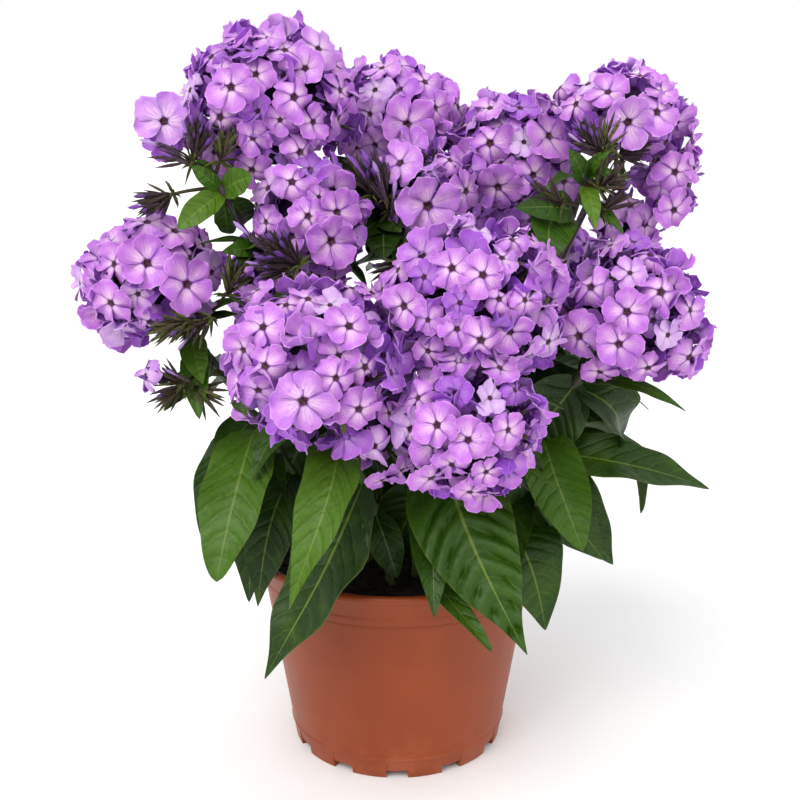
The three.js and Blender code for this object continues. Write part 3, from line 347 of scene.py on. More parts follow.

# Florets seen in the photograph: for each head, the pixel of the eye, the radius in pixels, how far
# the floret leans to the right and up as seen from the camera, and its tint if it is not PLAIN.
# Their darker tints, DEEP most of all, are partly painted shade for florets that sit deep among others.
HERO_FLORETS = {
    "a": [
        (231, 87, 28, 0, 0), (256, 74, 22, 0, 0.1), (220, 117, 27, -0.1, 0), (239, 109, 18, 0, 0, DEEP),
        (294, 97, 28, 0.1, 0), (313, 122, 22, 0.3, 0), (280, 120, 18, 0, 0, 0.6), (300, 152, 25, 0.1, -0.1),
        (252, 170, 24, -0.1, -0.1), (221, 71, 25, -0.5, 0.4, 0.4), (285, 50, 22, 0, 0.6, 0.4),
        (310, 38, 20, 0.3, 0.7), (268, 38, 20, 0, 0.8, 0.4), (238, 37, 20, -0.3, 0.8),
        (164, 121, 33, -0.1, 0, 0.3), (190, 90, 22, -0.6, 0.3, PALE), (340, 90, 22, 0.7, 0.1),
        (334, 62, 22, 0.6, 0.5), (326, 46, 20, 0.4, 0.6, 0.4), (253, 138, 20, 0.1, -0.1, 0.6),
    ],
    "b": [
        (407, 124, 30, 0, 0), (435, 108, 22, 0.1, 0.1), (458, 107, 24, 0.4, 0.2),
        (345, 127, 20, -0.5, 0, 0.6), (382, 68, 21, -0.2, 0.8, 0.4), (400, 66, 20, 0, 0.9, 0.4),
        (425, 82, 22, 0.2, 0.6), (355, 78, 20, -0.5, 0.5, DEEP), (375, 90, 22, -0.2, 0.4, PALE),
        (370, 114, 20, -0.3, 0, 0.3), (375, 145, 22, -0.3, -0.2, 0.4), (353, 68, 20, -0.5, 0.7, 0.4),
    ],
    "c": [
        (490, 143, 28, 0, 0), (498, 187, 26, 0, -0.1), (533, 175, 24, 0, 0), (549, 136, 28, 0.5, 0.1),
        (564, 181, 26, 0.3, -0.1, 0.4), (501, 163, 16, 0, 0, 0.7), (520, 108, 22, 0.1, 0.7, DEEP),
        (524, 142, 19, 0, 0.2, PALE), (505, 222, 22, 0, -0.5, DEEP), (530, 220, 20, 0.2, -0.5, 0.7),
        (482, 212, 20, -0.2, -0.4), (492, 226, 18, -0.1, -0.5, DEEP), (490, 108, 22, -0.1, 0.7, 0.4),
        (555, 105, 20, 0.5, 0.5),
    ],
    "d": [
        (628, 122, 30, 0, 0, 0.35), (657, 112, 27, 0.4, 0.2), (608, 92, 24, -0.1, 0.5),
        (588, 84, 22, -0.2, 0.7, PALE), (576, 104, 22, -0.3, 0.2), (640, 76, 22, 0.1, 0.9),
        (560, 88, 20, -0.5, 0.5, 0.4), (583, 124, 20, -0.2, -0.2, DEEP), (666, 142, 22, 0.6, 0, DEEP),
        (692, 136, 20, 0.9, 0.1), (675, 172, 24, 0.6, -0.2), (694, 168, 18, 0.9, 0, 0.4),
        (663, 186, 20, 0.2, -0.2, 0.7), (630, 205, 26, -0.1, 0.3, 0.4), (645, 224, 24, 0.1, -0.2, 0.4),
        (674, 210, 24, 0.8, 0), (610, 222, 18, -0.5, 0, 0.3), (662, 92, 20, 0.5, 0.6),
    ],
    "e": [
        (147, 263, 32, 0, 0), (187, 284, 32, 0.1, -0.1), (175, 231, 26, 0.1, 0.5),
        (147, 222, 27, -0.1, 0.8, 0.4), (114, 264, 24, -0.8, 0), (111, 303, 27, -0.5, -0.5),
        (80, 283, 20, -0.9, 0, PALE), (203, 245, 20, 0.6, 0.2, 0.6), (150, 322, 24, 0, -0.7, 0.6),
        (110, 242, 20, -0.7, 0.6, 0.4), (138, 294, 20, -0.1, -0.3, 0.3),
    ],
    "f": [
        (337, 212, 27, 0.2, 0), (308, 216, 24, -0.1, 0), (331, 241, 31, 0.1, -0.1), (292, 182, 27, 0, 0.1),
        (310, 169, 24, 0, 0.3, DEEP), (319, 197, 16, 0, 0, 0.6), (333, 281, 24, 0.1, -0.7, 0.6),
        (268, 188, 24, -0.4, 0.1, 0.3), (266, 222, 20, -0.5, -0.1, 0.6), (336, 168, 21, 0.4, 0.3, DEEP),
    ],
    "g": [
        (263, 327, 28, -0.1, 0.1), (286, 305, 22, -0.1, 0.4), (308, 299, 25, 0, 0.6, 0.4),
        (349, 326, 28, 0.1, 0), (265, 366, 30, -0.3, -0.2), (303, 401, 36, 0, 0, 0.4), (336, 378, 24, 0, 0),
        (365, 367, 24, 0.2, 0), (359, 409, 27, 0.1, -0.1), (258, 290, 20, -0.4, 0.7, 0.4),
        (352, 288, 20, 0.1, 0.3, 0.4), (372, 293, 22, 0.2, 0.2), (330, 305, 20, 0, 0.4, PALE),
        (232, 345, 24, -0.8, 0), (374, 446, 26, 0.1, -0.2, 0.3), (389, 413, 16, 0.3, 0, 0.6),
        (382, 480, 20, 0, -0.8), (402, 470, 20, 0.4, -0.6), (232, 385, 20, -0.7, -0.4, 0.6),
    ],
    "h": [
        (452, 268, 27, 0, 0), (483, 275, 28, 0.1, 0), (404, 306, 28, -0.1, 0), (499, 299, 22, 0.2, 0),
        (463, 286, 16, 0, 0, 0.6), (460, 303, 20, 0, -0.1, DEEP), (457, 329, 22, 0, 0),
        (481, 340, 29, 0.1, 0), (397, 346, 26, -0.2, 0), (428, 351, 20, 0, 0),
        (413, 366, 24, 0, -0.2, DEEP), (424, 277, 22, -0.2, 0.1, DEEP), (502, 258, 22, 0.2, 0.7, 0.4),
        (440, 234, 20, -0.1, 0.9, PALE), (478, 232, 20, 0.1, 0.9, PALE), (458, 226, 20, 0, 0.9, 0.3),
        (422, 244, 20, -0.4, 0.7, 0.3), (512, 240, 22, 0.3, 0.8, 0.6), (428, 320, 20, 0, 0, 0.6),
        (525, 300, 22, 0.8, 0), (398, 270, 22, -0.6, 0.4, 0.4), (382, 290, 22, -0.8, 0.2, 0.6),
        (410, 252, 20, -0.5, 0.7, 0.3), (532, 240, 20, 0.5, 0.8, 0.6),
    ],
    "i": [
        (458, 361, 24, 0, 0.1), (500, 368, 24, 0.5, 0.2), (437, 425, 27, -0.2, 0), (468, 440, 27, 0, -0.1),
        (489, 438, 20, 0.4, 0, 0.4), (455, 393, 22, 0, 0, DEEP), (515, 390, 20, 0.8, 0, DEEP),
        (508, 430, 22, 0.7, -0.2), (452, 465, 22, -0.2, -0.5, 0.6), (470, 492, 22, 0, -0.9),
        (490, 398, 20, 0.3, 0, PALE), (486, 472, 20, 0.3, -0.5), (418, 398, 22, -0.5, 0.1),
    ],
    "j": [
        (591, 287, 27, -0.1, 0), (627, 312, 29, 0, 0), (661, 292, 30, 0.2, 0.1), (579, 336, 29, -0.2, -0.1),
        (619, 344, 28, 0, -0.1), (689, 357, 28, 0.3, -0.2, 0.4), (650, 255, 24, 0.3, 0.7),
        (551, 284, 18, -0.6, 0, 0.6), (634, 242, 22, 0, 0.9, DEEP), (668, 335, 20, 0.4, 0, PALE),
        (565, 262, 20, -0.3, 0.6, PALE), (630, 273, 20, 0, 0.3, 0.3), (600, 372, 22, 0, -0.7),
        (648, 368, 22, 0.2, -0.5), (690, 310, 22, 0.8, 0.1), (552, 312, 20, -0.8, 0, 0.6),
    ],
    "n": [
        (428, 206, 35, 0, 0, 0.4), (400, 163, 29, -0.2, 0.5, 0.4), (466, 191, 24, 0.4, 0),
        (450, 160, 20, 0.3, 0.6, 0.6), (398, 208, 20, -0.6, 0, 0.7), (412, 232, 18, -0.3, -0.5, 0.6),
        (478, 218, 19, 0.4, -0.3, DEEP),
    ],
}
# A floret's radius in pixels, and where its eye lies as a share of its lobe
HERO_SEATS = ((18, 0.86), (34, 1.02))
SEAT_SPREAD = 0.03
FACE_CAMERA = 0.6            # how much they turn from their lobe's normal to the camera

# The other florets: places tried over each lobe, and how much they tilt from its normal
FILL_TRIES = 520
FILL_TILT = 0.38
LOBE_LIMIT = 0.74            # they don't sit deeper than this in another lobe
# How deep the florets of a layer sink, the least distance of their eyes in radii from those of the
# layers above and from each other, and their sizes as shares of FLORET_RADIUS
FILL_LAYER = {"sinks": (1, 8), "room": 1.1, "own_room": 1.1, "sizes": (0.8, 1.1)}
UNDER_LAYER = {"sinks": (8, 13), "room": 0.5, "own_room": 1.0, "sizes": (0.8, 1.0)}
UNDER_SHADE = 0.55
# Where the photograph shows no florets: the pixel in the middle and a radius in pixels. Florets that
# face away from the camera by more than TURNED_AWAY keep out of the second kind only.
CLEARINGS = [
    (236, 425, 24), (262, 455, 20), (312, 466, 17), (222, 300, 10), (208, 332, 14), (200, 196, 18),
    (224, 246, 10), (366, 264, 12), (376, 228, 12), (364, 186, 10), (628, 171, 12), (598, 158, 14),
    (560, 228, 12), (266, 252, 16), (158, 200, 8), (190, 146, 10), (706, 238, 14), (574, 430, 24),
    (554, 474, 18), (176, 362, 16),
]
CLEAR_SKY = [
    (262, -42, 62), (225, -28, 52), (305, -18, 34), (345, -8, 30), (400, 12, 32), (455, 45, 32),
    (490, 52, 36), (525, 52, 38), (640, 28, 30), (715, 75, 42), (738, 200, 44), (740, 295, 40),
    (70, 225, 30), (186, 22, 24),
]
TURNED_AWAY = 0.3
CLEAR_SHARE = 0.55           # florets keep this share of their radius out of them

PETALS = 5
ANTHERS = 3
CALYX_SIDES = 10
# Rows and columns of points on a petal: for florets the photograph shows, for others, for hidden ones
FINE_GRID = ((0, 0.1, 0.26, 0.46, 0.68, 0.87, 1), (-1, -0.7, -0.36, 0, 0.36, 0.7, 1))
PLAIN_GRID = ((0, 0.14, 0.37, 0.62, 0.84, 1), (-1, -0.55, 0, 0.55, 1))
ROUGH_GRID = ((0, 0.4, 0.8, 1), (-1, 0, 1))
# Shares of a floret's radius
THROAT_RADIUS = 0.12
MOUTH_RADIUS = 0.135
PETAL_THICKNESS = 0.02
RIM_ROUGHNESS = 0.022
TUBE_LENGTH = 0.95
CALYX_FOOT = TUBE_LENGTH + 0.1
CALYX_LENGTH = 0.6
PEDICEL_START = TUBE_LENGTH + 0.08
# Each form of floret: how many are made, the least and greatest slope of the petals at the eye, how
# far they bend, and how much the petals differ, in degrees.
FORMS = {
    "flat": (8, (8, 18), (-26, -8), 9),
    "open": (16, (2, 24), (-65, -5), 17),
    "drooping": (6, (-5, 12), (-105, -65), 16),
    "funnel": (5, (35, 58), (-45, -15), 15),
    "crumpled": (5, (25, 60), (40, 95), 28),
}
# How often the florets of each layer take each form. Those with a larger radius than BROAD are flat.
HERO_FORMS = {"open": 0.8, "drooping": 0.2}
FILL_FORMS = {"open": 0.56, "drooping": 0.14, "funnel": 0.17, "crumpled": 0.13}
UNDER_FORMS = {"open": 0.3, "drooping": 0.1, "funnel": 0.4, "crumpled": 0.2}
BROAD = 14.0
# Florets whose facing times their head's is more than this hide their calyces, which are left out.
COVERED = 0.6

PEDICEL_RADII = (0.9, 0.55)
LOBE_STEM_RADII = (1.4, 1)   # of the stalk from a head's first lobe to another
SHADE_CORE_SHARE = 0.56           # the dark core of a lobe, which is painted shade, as a share of its radii
SMALL_LOBE = 18              # lobes with smaller radii have no heart
INNER_BUDS = 12              # furled buds round the heart of a lobe with a radius of MEAN_LOBE
MEAN_LOBE = 38
INNER_BUD_SIZES = (10, 14)
BUD_SEATS = (0.34, 0.48)     # their feet, as shares of the radii

# ---- Floor and lights ----------------------------------------------------------------------------
FLOOR_HALF = 6.0             # metres
FLOOR_WHITE = 0.9
# Broad lights: the direction that each comes from, its angle in degrees, strength and colour
SUNS = {
    "key": ((-0.55, -0.75, 1.0), 50, 2.05, (1, 0.99, 0.97)),
    "fill": ((0.9, -0.8, 0.5), 80, 0.7, (0.98, 0.99, 1)),
    "back": ((0.3, 1.0, 0.9), 60, 0.7, (1, 1, 1)),
}
ROOM_LIGHT = 0.74            # of the white room on the object
BACKGROUND = 1.0             # and as the camera sees it

# ---- Helpers -------------------------------------------------------------------------------------


def vector(values):
    return np.array(values, float)


def unit(v):
    return v / np.linalg.norm(v)


def heading(turn, rise=0.0):
    """A level direction at an angle from +X, with a rise at its end."""
    return vector((math.cos(turn), math.sin(turn), rise))


def smooth(low, high, x):
    """0 below low, 1 above high, and a smooth step between them."""
    t = np.clip((x - low) / (high - low), 0, 1)
    return t * t * (3 - 2 * t)


def pick(items, rng):
    return items[rng.integers(len(items))]


def turned(v, axis, degrees):
    """A vector turned about an axis."""
    angle = math.radians(degrees)
    across = np.cross(axis, v)
    return v * math.cos(angle) + across * math.sin(angle) + axis * (axis @ v) * (1 - math.cos(angle))


def axes_facing(direction, turn=0.0):
    """A matrix that takes +Z to a direction, with a turn (radians) about it. Its rows are the axes."""
    direction = unit(direction)
    helper = RIGHT if abs(direction[0]) < 0.8 else np.array([0, 1.0, 0])
    first = unit(np.cross(helper, direction))
    second = np.cross(direction, first)
    c, s = math.cos(turn), math.sin(turn)
    return np.array([c * first + s * second, c * second - s * first, direction])


def tone_of(points, along=0.0, across=0.5, tint=0.5, shade=0.0):
    """The four numbers that the materials read at each point."""
    tones = np.zeros((len(points), 4))
    for column, value in enumerate((along, across, tint, shade)):
        tones[:, column] = value
    return tones


def sheet_tones(points, along, across, under):
    """The tones of a thin sheet from grids of two of them. under is the shade of its lower side."""
    tones = tone_of(points, np.tile(along.ravel(), 2), np.tile(across.ravel() / 2 + 0.5, 2))
    tones[:, 3] = np.repeat([0, under], along.size)
    return tones


def quads(*corners):
    """Quads from the grids of their four corners."""
    return np.stack(corners, axis=-1).reshape(-1, 4)


def sheet_faces(rows, columns):
    """Quads of a thin closed sheet: a grid, the same grid below it, and the rim between them."""
    grid = np.arange(rows * columns).reshape(rows, columns)
    top = quads(grid[:-1, :-1], grid[1:, :-1], grid[1:, 1:], grid[:-1, 1:])
    edge = np.concatenate([grid[0, :-1], grid[:-1, -1], grid[-1, :0:-1], grid[:0:-1, 0]])
    onward = np.roll(edge, -1)
    return [top, top[:, ::-1] + grid.size, quads(edge, onward, onward + grid.size, edge + grid.size)]


def capped_faces(rings, sides):
    """Faces of a closed tube whose last two points are the middles of its first and last ring."""
    here = np.arange(rings * sides).reshape(rings, sides)
    beside = np.roll(here, -1, axis=1)
    low = np.stack([beside[0], here[0], np.full(sides, here.size)], axis=1)
    high = np.stack([here[-1], beside[-1], np.full(sides, here.size + 1)], axis=1)
    return [quads(here[:-1], beside[:-1], beside[1:], here[1:]), low, high]


def around_tube(rings, sides):
    """The share of the way round at each point of a closed tube."""
    return np.concatenate([np.tile(np.arange(sides) / sides, rings), [0, 0]])


def ring_of(radii, angles, heights):
    """Points round the Z axis."""
    return np.stack(np.broadcast_arrays(radii * np.cos(angles), radii * np.sin(angles), heights), axis=1)


def lathe(profile, sides, lobes=None):
    """A closed solid turned about Z from (radius, height) pairs. lobes(angles, height) scales radii."""
    angles = np.arange(sides) * FULL_TURN / sides
    rings = [ring_of(radius * (lobes(angles, height) if lobes else 1), angles, height)
             for radius, height in profile]
    ends = np.array([[0, 0, profile[0][1]], [0, 0, profile[-1][1]]], float)
    return np.concatenate([*rings, ends]), capped_faces(len(profile), sides)


def five_lobed(depth, twist=0.0):
    """Radii with five ribs that turn with height."""
    return lambda angles, height: 1 + depth * np.cos(5 * (angles + twist * height))


def sweep(path, radii, sides):
    """A closed tube along a path of points, with a radius at each."""
    tangents = np.gradient(path, axis=0)
    tangents /= np.linalg.norm(tangents, axis=1)[:, None]
    side = unit(np.cross(tangents[0], RIGHT if abs(tangents[0][0]) < 0.8 else UP))
    angles = np.arange(sides) * FULL_TURN / sides
    rings = []
    for point, tangent, radius in zip(path, tangents, radii):
        side = unit(side - tangent * (side @ tangent))
        other = np.cross(tangent, side)
        rings.append(point + radius * (np.outer(np.cos(angles), side) + np.outer(np.sin(angles), other)))
    return np.concatenate([*rings, path[:1], path[-1:]]), capped_faces(len(path), sides)


def bezier(points, t):
    """Points of a Bezier curve of any degree at parameters t."""
    t = np.atleast_1d(t)[:, None]
    degree = len(points) - 1
    return sum(math.comb(degree, i) * t ** i * (1 - t) ** (degree - i) * vector(p)
               for i, p in enumerate(points))


def spline_through(start, via, tip):
    """A centripetal Catmull-Rom curve through three points, as a function of 0 to 1."""
    knots = [2 * start - via, start, via, tip, 2 * tip - via]

    def at(t):
        values = []
        for share in np.atleast_1d(t):
            part = min(int(share * 2), 1)
            u = share * 2 - part
            p0, p1, p2, p3 = knots[part:part + 4]
            d0, d1, d2 = (math.sqrt(np.linalg.norm(b - a)) for a, b in ((p0, p1), (p1, p2), (p2, p3)))
            t1 = ((p1 - p0) / d0 - (p2 - p0) / (d0 + d1) + (p2 - p1) / d1) * d1
            t2 = ((p2 - p1) / d1 - (p3 - p1) / (d1 + d2) + (p3 - p2) / d2) * d1
            values.append(p1 + t1 * u + (3 * (p2 - p1) - 2 * t1 - t2) * u ** 2
                          + (2 * (p1 - p2) + t1 + t2) * u ** 3)
        return np.array(values)

    return at


def at_height(curve, height):
    """The point of a rising curve at a given height."""
    low, high = 0.0, 1.0
    for _ in range(30):
        middle = (low + high) / 2
        if curve(middle)[0][2] < height:
            low = middle
        else:
            high = middle
    return curve(low)[0]


def pixel_ray(u, v):
    """The direction from the camera through a pixel of the photograph."""
    middle = PHOTO_SIZE / 2
    return unit(AHEAD + RIGHT * (u - middle) / FOCAL_PIXELS + ABOVE * (middle - v) / FOCAL_PIXELS)


def seen_at(u, v, y):
    """The point at a depth y that the photograph shows at a pixel."""
    ray = pixel_ray(u, v)
    return CAMERA_PLACE + ray * (y - CAMERA_PLACE[1]) / ray[1]


def pixel_of(point):
    """The pixel of the photograph that shows a point, and how many pixels a millimetre takes there."""
    offset = point - CAMERA_PLACE
    scale = FOCAL_PIXELS / (offset @ AHEAD)
    return PHOTO_SIZE / 2 + offset @ RIGHT * scale, PHOTO_SIZE / 2 - offset @ ABOVE * scale, scale


def add_object(name, data):
    made = bpy.data.objects.new(name, data)
    bpy.context.scene.collection.objects.link(made)
    return made


class Pile:
    """Gathers the points, faces, materials and tones of one piece."""

    def __init__(self):
        self.points, self.tones, self.faces, self.finishes = [], [], [], []
        self.count = 0

    def add(self, points, faces, finish, tones):
        """Adds a body. faces is a list of arrays, each of triangles or of quads."""
        for group in faces:
            self.faces.append(group + self.count)
            self.finishes.append(finish)
        self.points.append(points)
        self.tones.append(tones)
        self.count += len(points)

    def add_twig(self, knots, radii, sides, tint=0.5, shade=0.0):
        """Adds a thin stalk along a Bezier curve, with a radius at each of its rings."""
        points, faces = sweep(bezier(knots, np.linspace(0, 1, len(radii))), radii, sides)
        self.add(points, faces, CALYX, tone_of(points, tint=tint, shade=shade))

    def build(self, name, node, sharp=60):
        materials = list(dict.fromkeys(self.finishes))
        sizes = np.concatenate([np.full(len(f), f.shape[1]) for f in self.faces])
        corners = np.concatenate([f.ravel() for f in self.faces])
        slots = np.concatenate([np.full(len(f), materials.index(m))
                                for f, m in zip(self.faces, self.finishes)])
        mesh = bpy.data.meshes.new(name)
        mesh.vertices.add(self.count)
        places = (np.concatenate(self.points) * METRES).astype(np.float32)
        mesh.vertices.foreach_set("co", places.ravel())
        mesh.loops.add(len(corners))
        mesh.loops.foreach_set("vertex_index", corners.astype(np.int32))
        mesh.polygons.add(len(sizes))
        starts = np.concatenate([[0], np.cumsum(sizes)[:-1]])
        mesh.polygons.foreach_set("loop_start", starts.astype(np.int32))
        mesh.polygons.foreach_set("material_index", slots.astype(np.int32))
        for material in materials:
            mesh.materials.append(material)
        mesh.update(calc_edges=True)
        tones = mesh.attributes.new("tone", "FLOAT_COLOR", "POINT")
        tones.data.foreach_set("color", np.concatenate(self.tones).astype(np.float32).ravel())
        mesh.polygons.foreach_set("use_smooth", np.ones(len(sizes), bool))
        mesh.set_sharp_from_angle(angle=math.radians(sharp))
        piece = add_object(name, mesh)
        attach(piece, "root")
        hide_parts(node)
        return piece


# ---- Materials -----------------------------------------------------------------------------------


def linear(red, green, blue):
    """An sRGB colour, 0 to 255, as Blender's linear colour."""
    values = [c / 255 for c in (red, green, blue)]
    values = [c / 12.92 if c <= 0.04045 else ((c + 0.055) / 1.055) ** 2.4 for c in values]
    return (*values, 1.0)


class Shader:
    """A material whose colour is laid on in coats. Colours are sRGB from 0 to 255, other values are
    numbers or sockets, and the scale of a noise is per metre."""

    def __init__(self, name, surface):
        self.material = bpy.data.materials.new(name)
        self.material.use_nodes = True
        self.nodes = self.material.node_tree.nodes
        self.surface = self.nodes["Principled BSDF"]
        self.colour = None
        for socket, value in surface.items():
            self.feed(self.surface.inputs[socket], value)

    def feed(self, socket, value):
        if isinstance(value, bpy.types.NodeSocket):
            self.material.node_tree.links.new(value, socket)
        else:
            socket.default_value = value

    def node(self, kind, inputs, output=0, **settings):
        """A new node's output. inputs holds a value for some of its sockets, by name or number."""
        node = self.nodes.new("ShaderNode" + kind)
        for name, value in settings.items():
            setattr(node, name, value)
        for socket, value in inputs.items():
            self.feed(node.inputs[socket], value)
        return node.outputs[output]

    def tone(self):
        """The sockets of the tone: along, across from -1 to 1, tint and shade."""
        attribute = self.nodes.new("ShaderNodeAttribute")
        attribute.attribute_name = "tone"
        split = self.nodes.new("ShaderNodeSeparateColor")
        self.feed(split.inputs[0], attribute.outputs["Color"])
        across = self.math("MULTIPLY_ADD", split.outputs[1], 2, -1)
        return split.outputs[0], across, split.outputs[2], attribute.outputs["Alpha"]

    def math(self, operation, *values):
        return self.node("Math", dict(enumerate(values)), operation=operation)

    def product(self, first, *others):
        for factor in others:
            first = self.math("MULTIPLY", first, factor)
        return first

    def step(self, value, low, high):
        """A smooth step of a value from 0 at low to 1 at high."""
        inputs = dict(enumerate((value, low, high, 0, 1)))
        return self.node("MapRange", inputs, interpolation_type="SMOOTHSTEP")

    def place(self):
        return self.node("TexCoord", {}, "Object")

    def noise(self, vector, scale, detail=3, roughness=0.5):
        inputs = {"Vector": vector, "Scale": scale, "Detail": detail, "Roughness": roughness}
        return self.node("TexNoise", inputs)

    def streaks(self, tone, stretch, scale, detail=2, roughness=0.5):
        """Noise drawn out along a body, another for each tint."""
        shares = [self.math("MULTIPLY", value, times) for value, times in zip(tone, stretch)]
        return self.noise(self.node("CombineXYZ", dict(enumerate(shares))), scale, detail, roughness)

    def cells(self, vector, scale):
        """The distance to the nearest edge of a net of cells."""
        inputs = {"Vector": vector, "Scale": scale}
        return self.node("TexVoronoi", inputs, "Distance", feature="DISTANCE_TO_EDGE")

    def ground(self, colour):
        self.colour = linear(*colour)

    def ramp(self, factor, *stops):
        """Makes the ground a ramp of (position, colour) stops."""
        node = self.nodes.new("ShaderNodeValToRGB")
        elements = node.color_ramp.elements
        while len(elements) < len(stops):
            elements.new(0.5)
        for element, (position, colour) in zip(elements, stops):
            element.position = position
            element.color = linear(*colour)
        self.feed(node.inputs[0], factor)
        self.colour = node.outputs[0]

    def coat(self, colour, *factors):
        """Lays a colour on, as strongly as the product of the factors."""
        inputs = {"Factor": self.product(*factors), 6: self.colour, 7: linear(*colour)}
        self.colour = self.node("Mix", inputs, 2, data_type="RGBA")

    def made(self, height, distance, strength, roughness=None):
        """The material, with a bump whose full height is a distance in millimetres."""
        inputs = {"Strength": strength, "Distance": distance * METRES, "Height": height}
        self.feed(self.surface.inputs["Normal"], self.node("Bump", inputs))
        self.feed(self.surface.inputs["Base Color"], self.colour)
        if roughness is not None:
            self.feed(self.surface.inputs["Roughness"], roughness)
        return self.material


def petal_material():
    """Lilac petals: a pale star round the eye, thin rays and veins, violet painted shade between the
    petals and along their sides, and a lighter edge that is a painted highlight."""
    s = Shader("petal", {
        "Roughness": 0.5, "Specular IOR Level": 0.35, "Sheen Weight": 0.1, "Sheen Roughness": 0.4,
        "Subsurface Weight": 0.25, "Subsurface Radius": (1, 0.3, 1.2), "Subsurface Scale": 0.0006,
    })
    along, across, tint, shade = s.tone()
    side = s.math("ABSOLUTE", across)
    s.ramp(along, (0, (70, 22, 70)), (0.025, (110, 48, 112)), (0.08, (238, 204, 232)),
           (0.22, (236, 188, 230)), (0.42, (215, 153, 221)), (0.78, (194, 118, 212)), (1, (203, 134, 220)))
    s.coat((246, 212, 238), s.step(side, 0.5, 0.02), s.step(along, 0.95, 0.15), 0.5)
    veins = s.streaks((along, across, tint), (2.2, 13, 90), 1.7, 3, 0.6)
    s.coat((162, 86, 198), s.step(veins, 0.44, 0.66), 0.5)
    fan = s.math("PINGPONG", s.math("MULTIPLY_ADD", veins, 0.6, s.product(across, 2.8)), 0.5)
    rays = s.product(s.step(fan, 0.16, 0.02), s.step(along, 0.75, 0.1))
    s.coat((150, 78, 190), rays, 0.5)
    # Violet along the petals' sides: painted shade where they overlap.
    s.coat((150, 64, 196), s.step(side, 0.35, 1.0), s.step(along, 0.9, 0.2), 0.7)
    # Dark violet where the petals meet near the eye: painted shade.
    join_shade = s.product(s.step(side, 0.74, 0.97), s.step(along, 0.5, 0.2))
    s.coat((100, 26, 128), join_shade, 0.8)
    # Deeper violet for high tints: partly the florets' own colour, partly painted shade where DEEP marks
    # florets in shade.
    s.coat((134, 54, 190), s.step(tint, 0.5, 0.95), 0.65)
    s.coat((222, 200, 240), s.step(tint, 0.5, 0.05), 0.55)
    s.coat((160, 80, 206), s.step(s.noise(s.place(), 130, 2), 0.46, 0.68), 0.4)
    # A lighter rim along each petal's edge: a painted highlight.
    hem_highlight = s.math("MAXIMUM", s.step(side, 0.9, 1.0), s.step(along, 0.93, 1.0))
    s.coat((236, 200, 244), hem_highlight, s.step(along, 0.35, 0.7), 0.5)
    s.coat((124, 40, 186), shade, 0.8)
    return s.made(s.math("SUBTRACT", veins, s.math("MAXIMUM", rays, join_shade)), 0.3, 0.7)


def eye_material():
    """The floret's dark mouth, with a paler rim inside it."""
    s = Shader("eye", {"Roughness": 0.5})
    along = s.tone()[0]
    mottle = s.noise(s.place(), 1800, 2)
    s.ramp(along, (0, (28, 5, 19)), (0.6, (60, 14, 43)), (1, (92, 30, 76)))
    s.coat((24, 8, 20), s.step(mottle, 0.5, 0.7), 0.5)
    return s.made(mottle, 0.2, 0.5)


def anther_material():
    s = Shader("anther", {"Roughness": 0.7})
    grain = s.noise(s.place(), 2500, 2)
    s.ground((128, 88, 92))
    s.coat((84, 50, 60), s.step(grain, 0.4, 0.65))
    return s.made(grain, 0.1, 0.5)


def furled_material():
    """Corolla tubes and furled buds: violet with darker seams."""
    s = Shader("furled", {"Roughness": 0.5, "Sheen Weight": 0.1})
    along, across, tint, shade = s.tone()
    streak = s.streaks((along, across, tint), (1.5, 6, 50), 2.5)
    s.ramp(along, (0, (92, 46, 104)), (0.45, (128, 62, 168)), (1, (96, 34, 150)))
    s.coat((150, 88, 190), s.step(streak, 0.45, 0.7))
    s.coat((190, 160, 214), s.step(tint, 0.8, 1.0), s.step(along, 0.3, 0.7), 0.7)
    s.coat((46, 20, 62), shade, 0.85)
    return s.made(streak, 0.2, 0.6)


def calyx_material():
    """Calyces and stalks: dark green and purple-brown ribs whose pale crests are a painted highlight."""
    s = Shader("calyx", {"Roughness": 0.55, "Specular IOR Level": 0.3})
    along, across, tint, shade = s.tone()
    rib = s.math("ABSOLUTE", s.math("SINE", s.product(across, 15.7)))
    fleck = s.noise(s.place(), 900)
    s.ramp(tint, (0, (86, 98, 36)), (0.4, (58, 46, 26)), (0.7, (38, 20, 32)), (1, (48, 18, 68)))
    # Pale along the rib crests: a painted highlight.
    s.coat((150, 128, 110), s.step(rib, 0.75, 1.0), 0.4)
    s.coat((24, 14, 20), s.step(fleck, 0.45, 0.75))
    s.coat((50, 28, 52), s.step(along, 0.8, 1.0))
    s.coat((14, 10, 14), shade, 0.7)
    return s.made(s.math("ADD", rib, fleck), 0.25, 0.7)


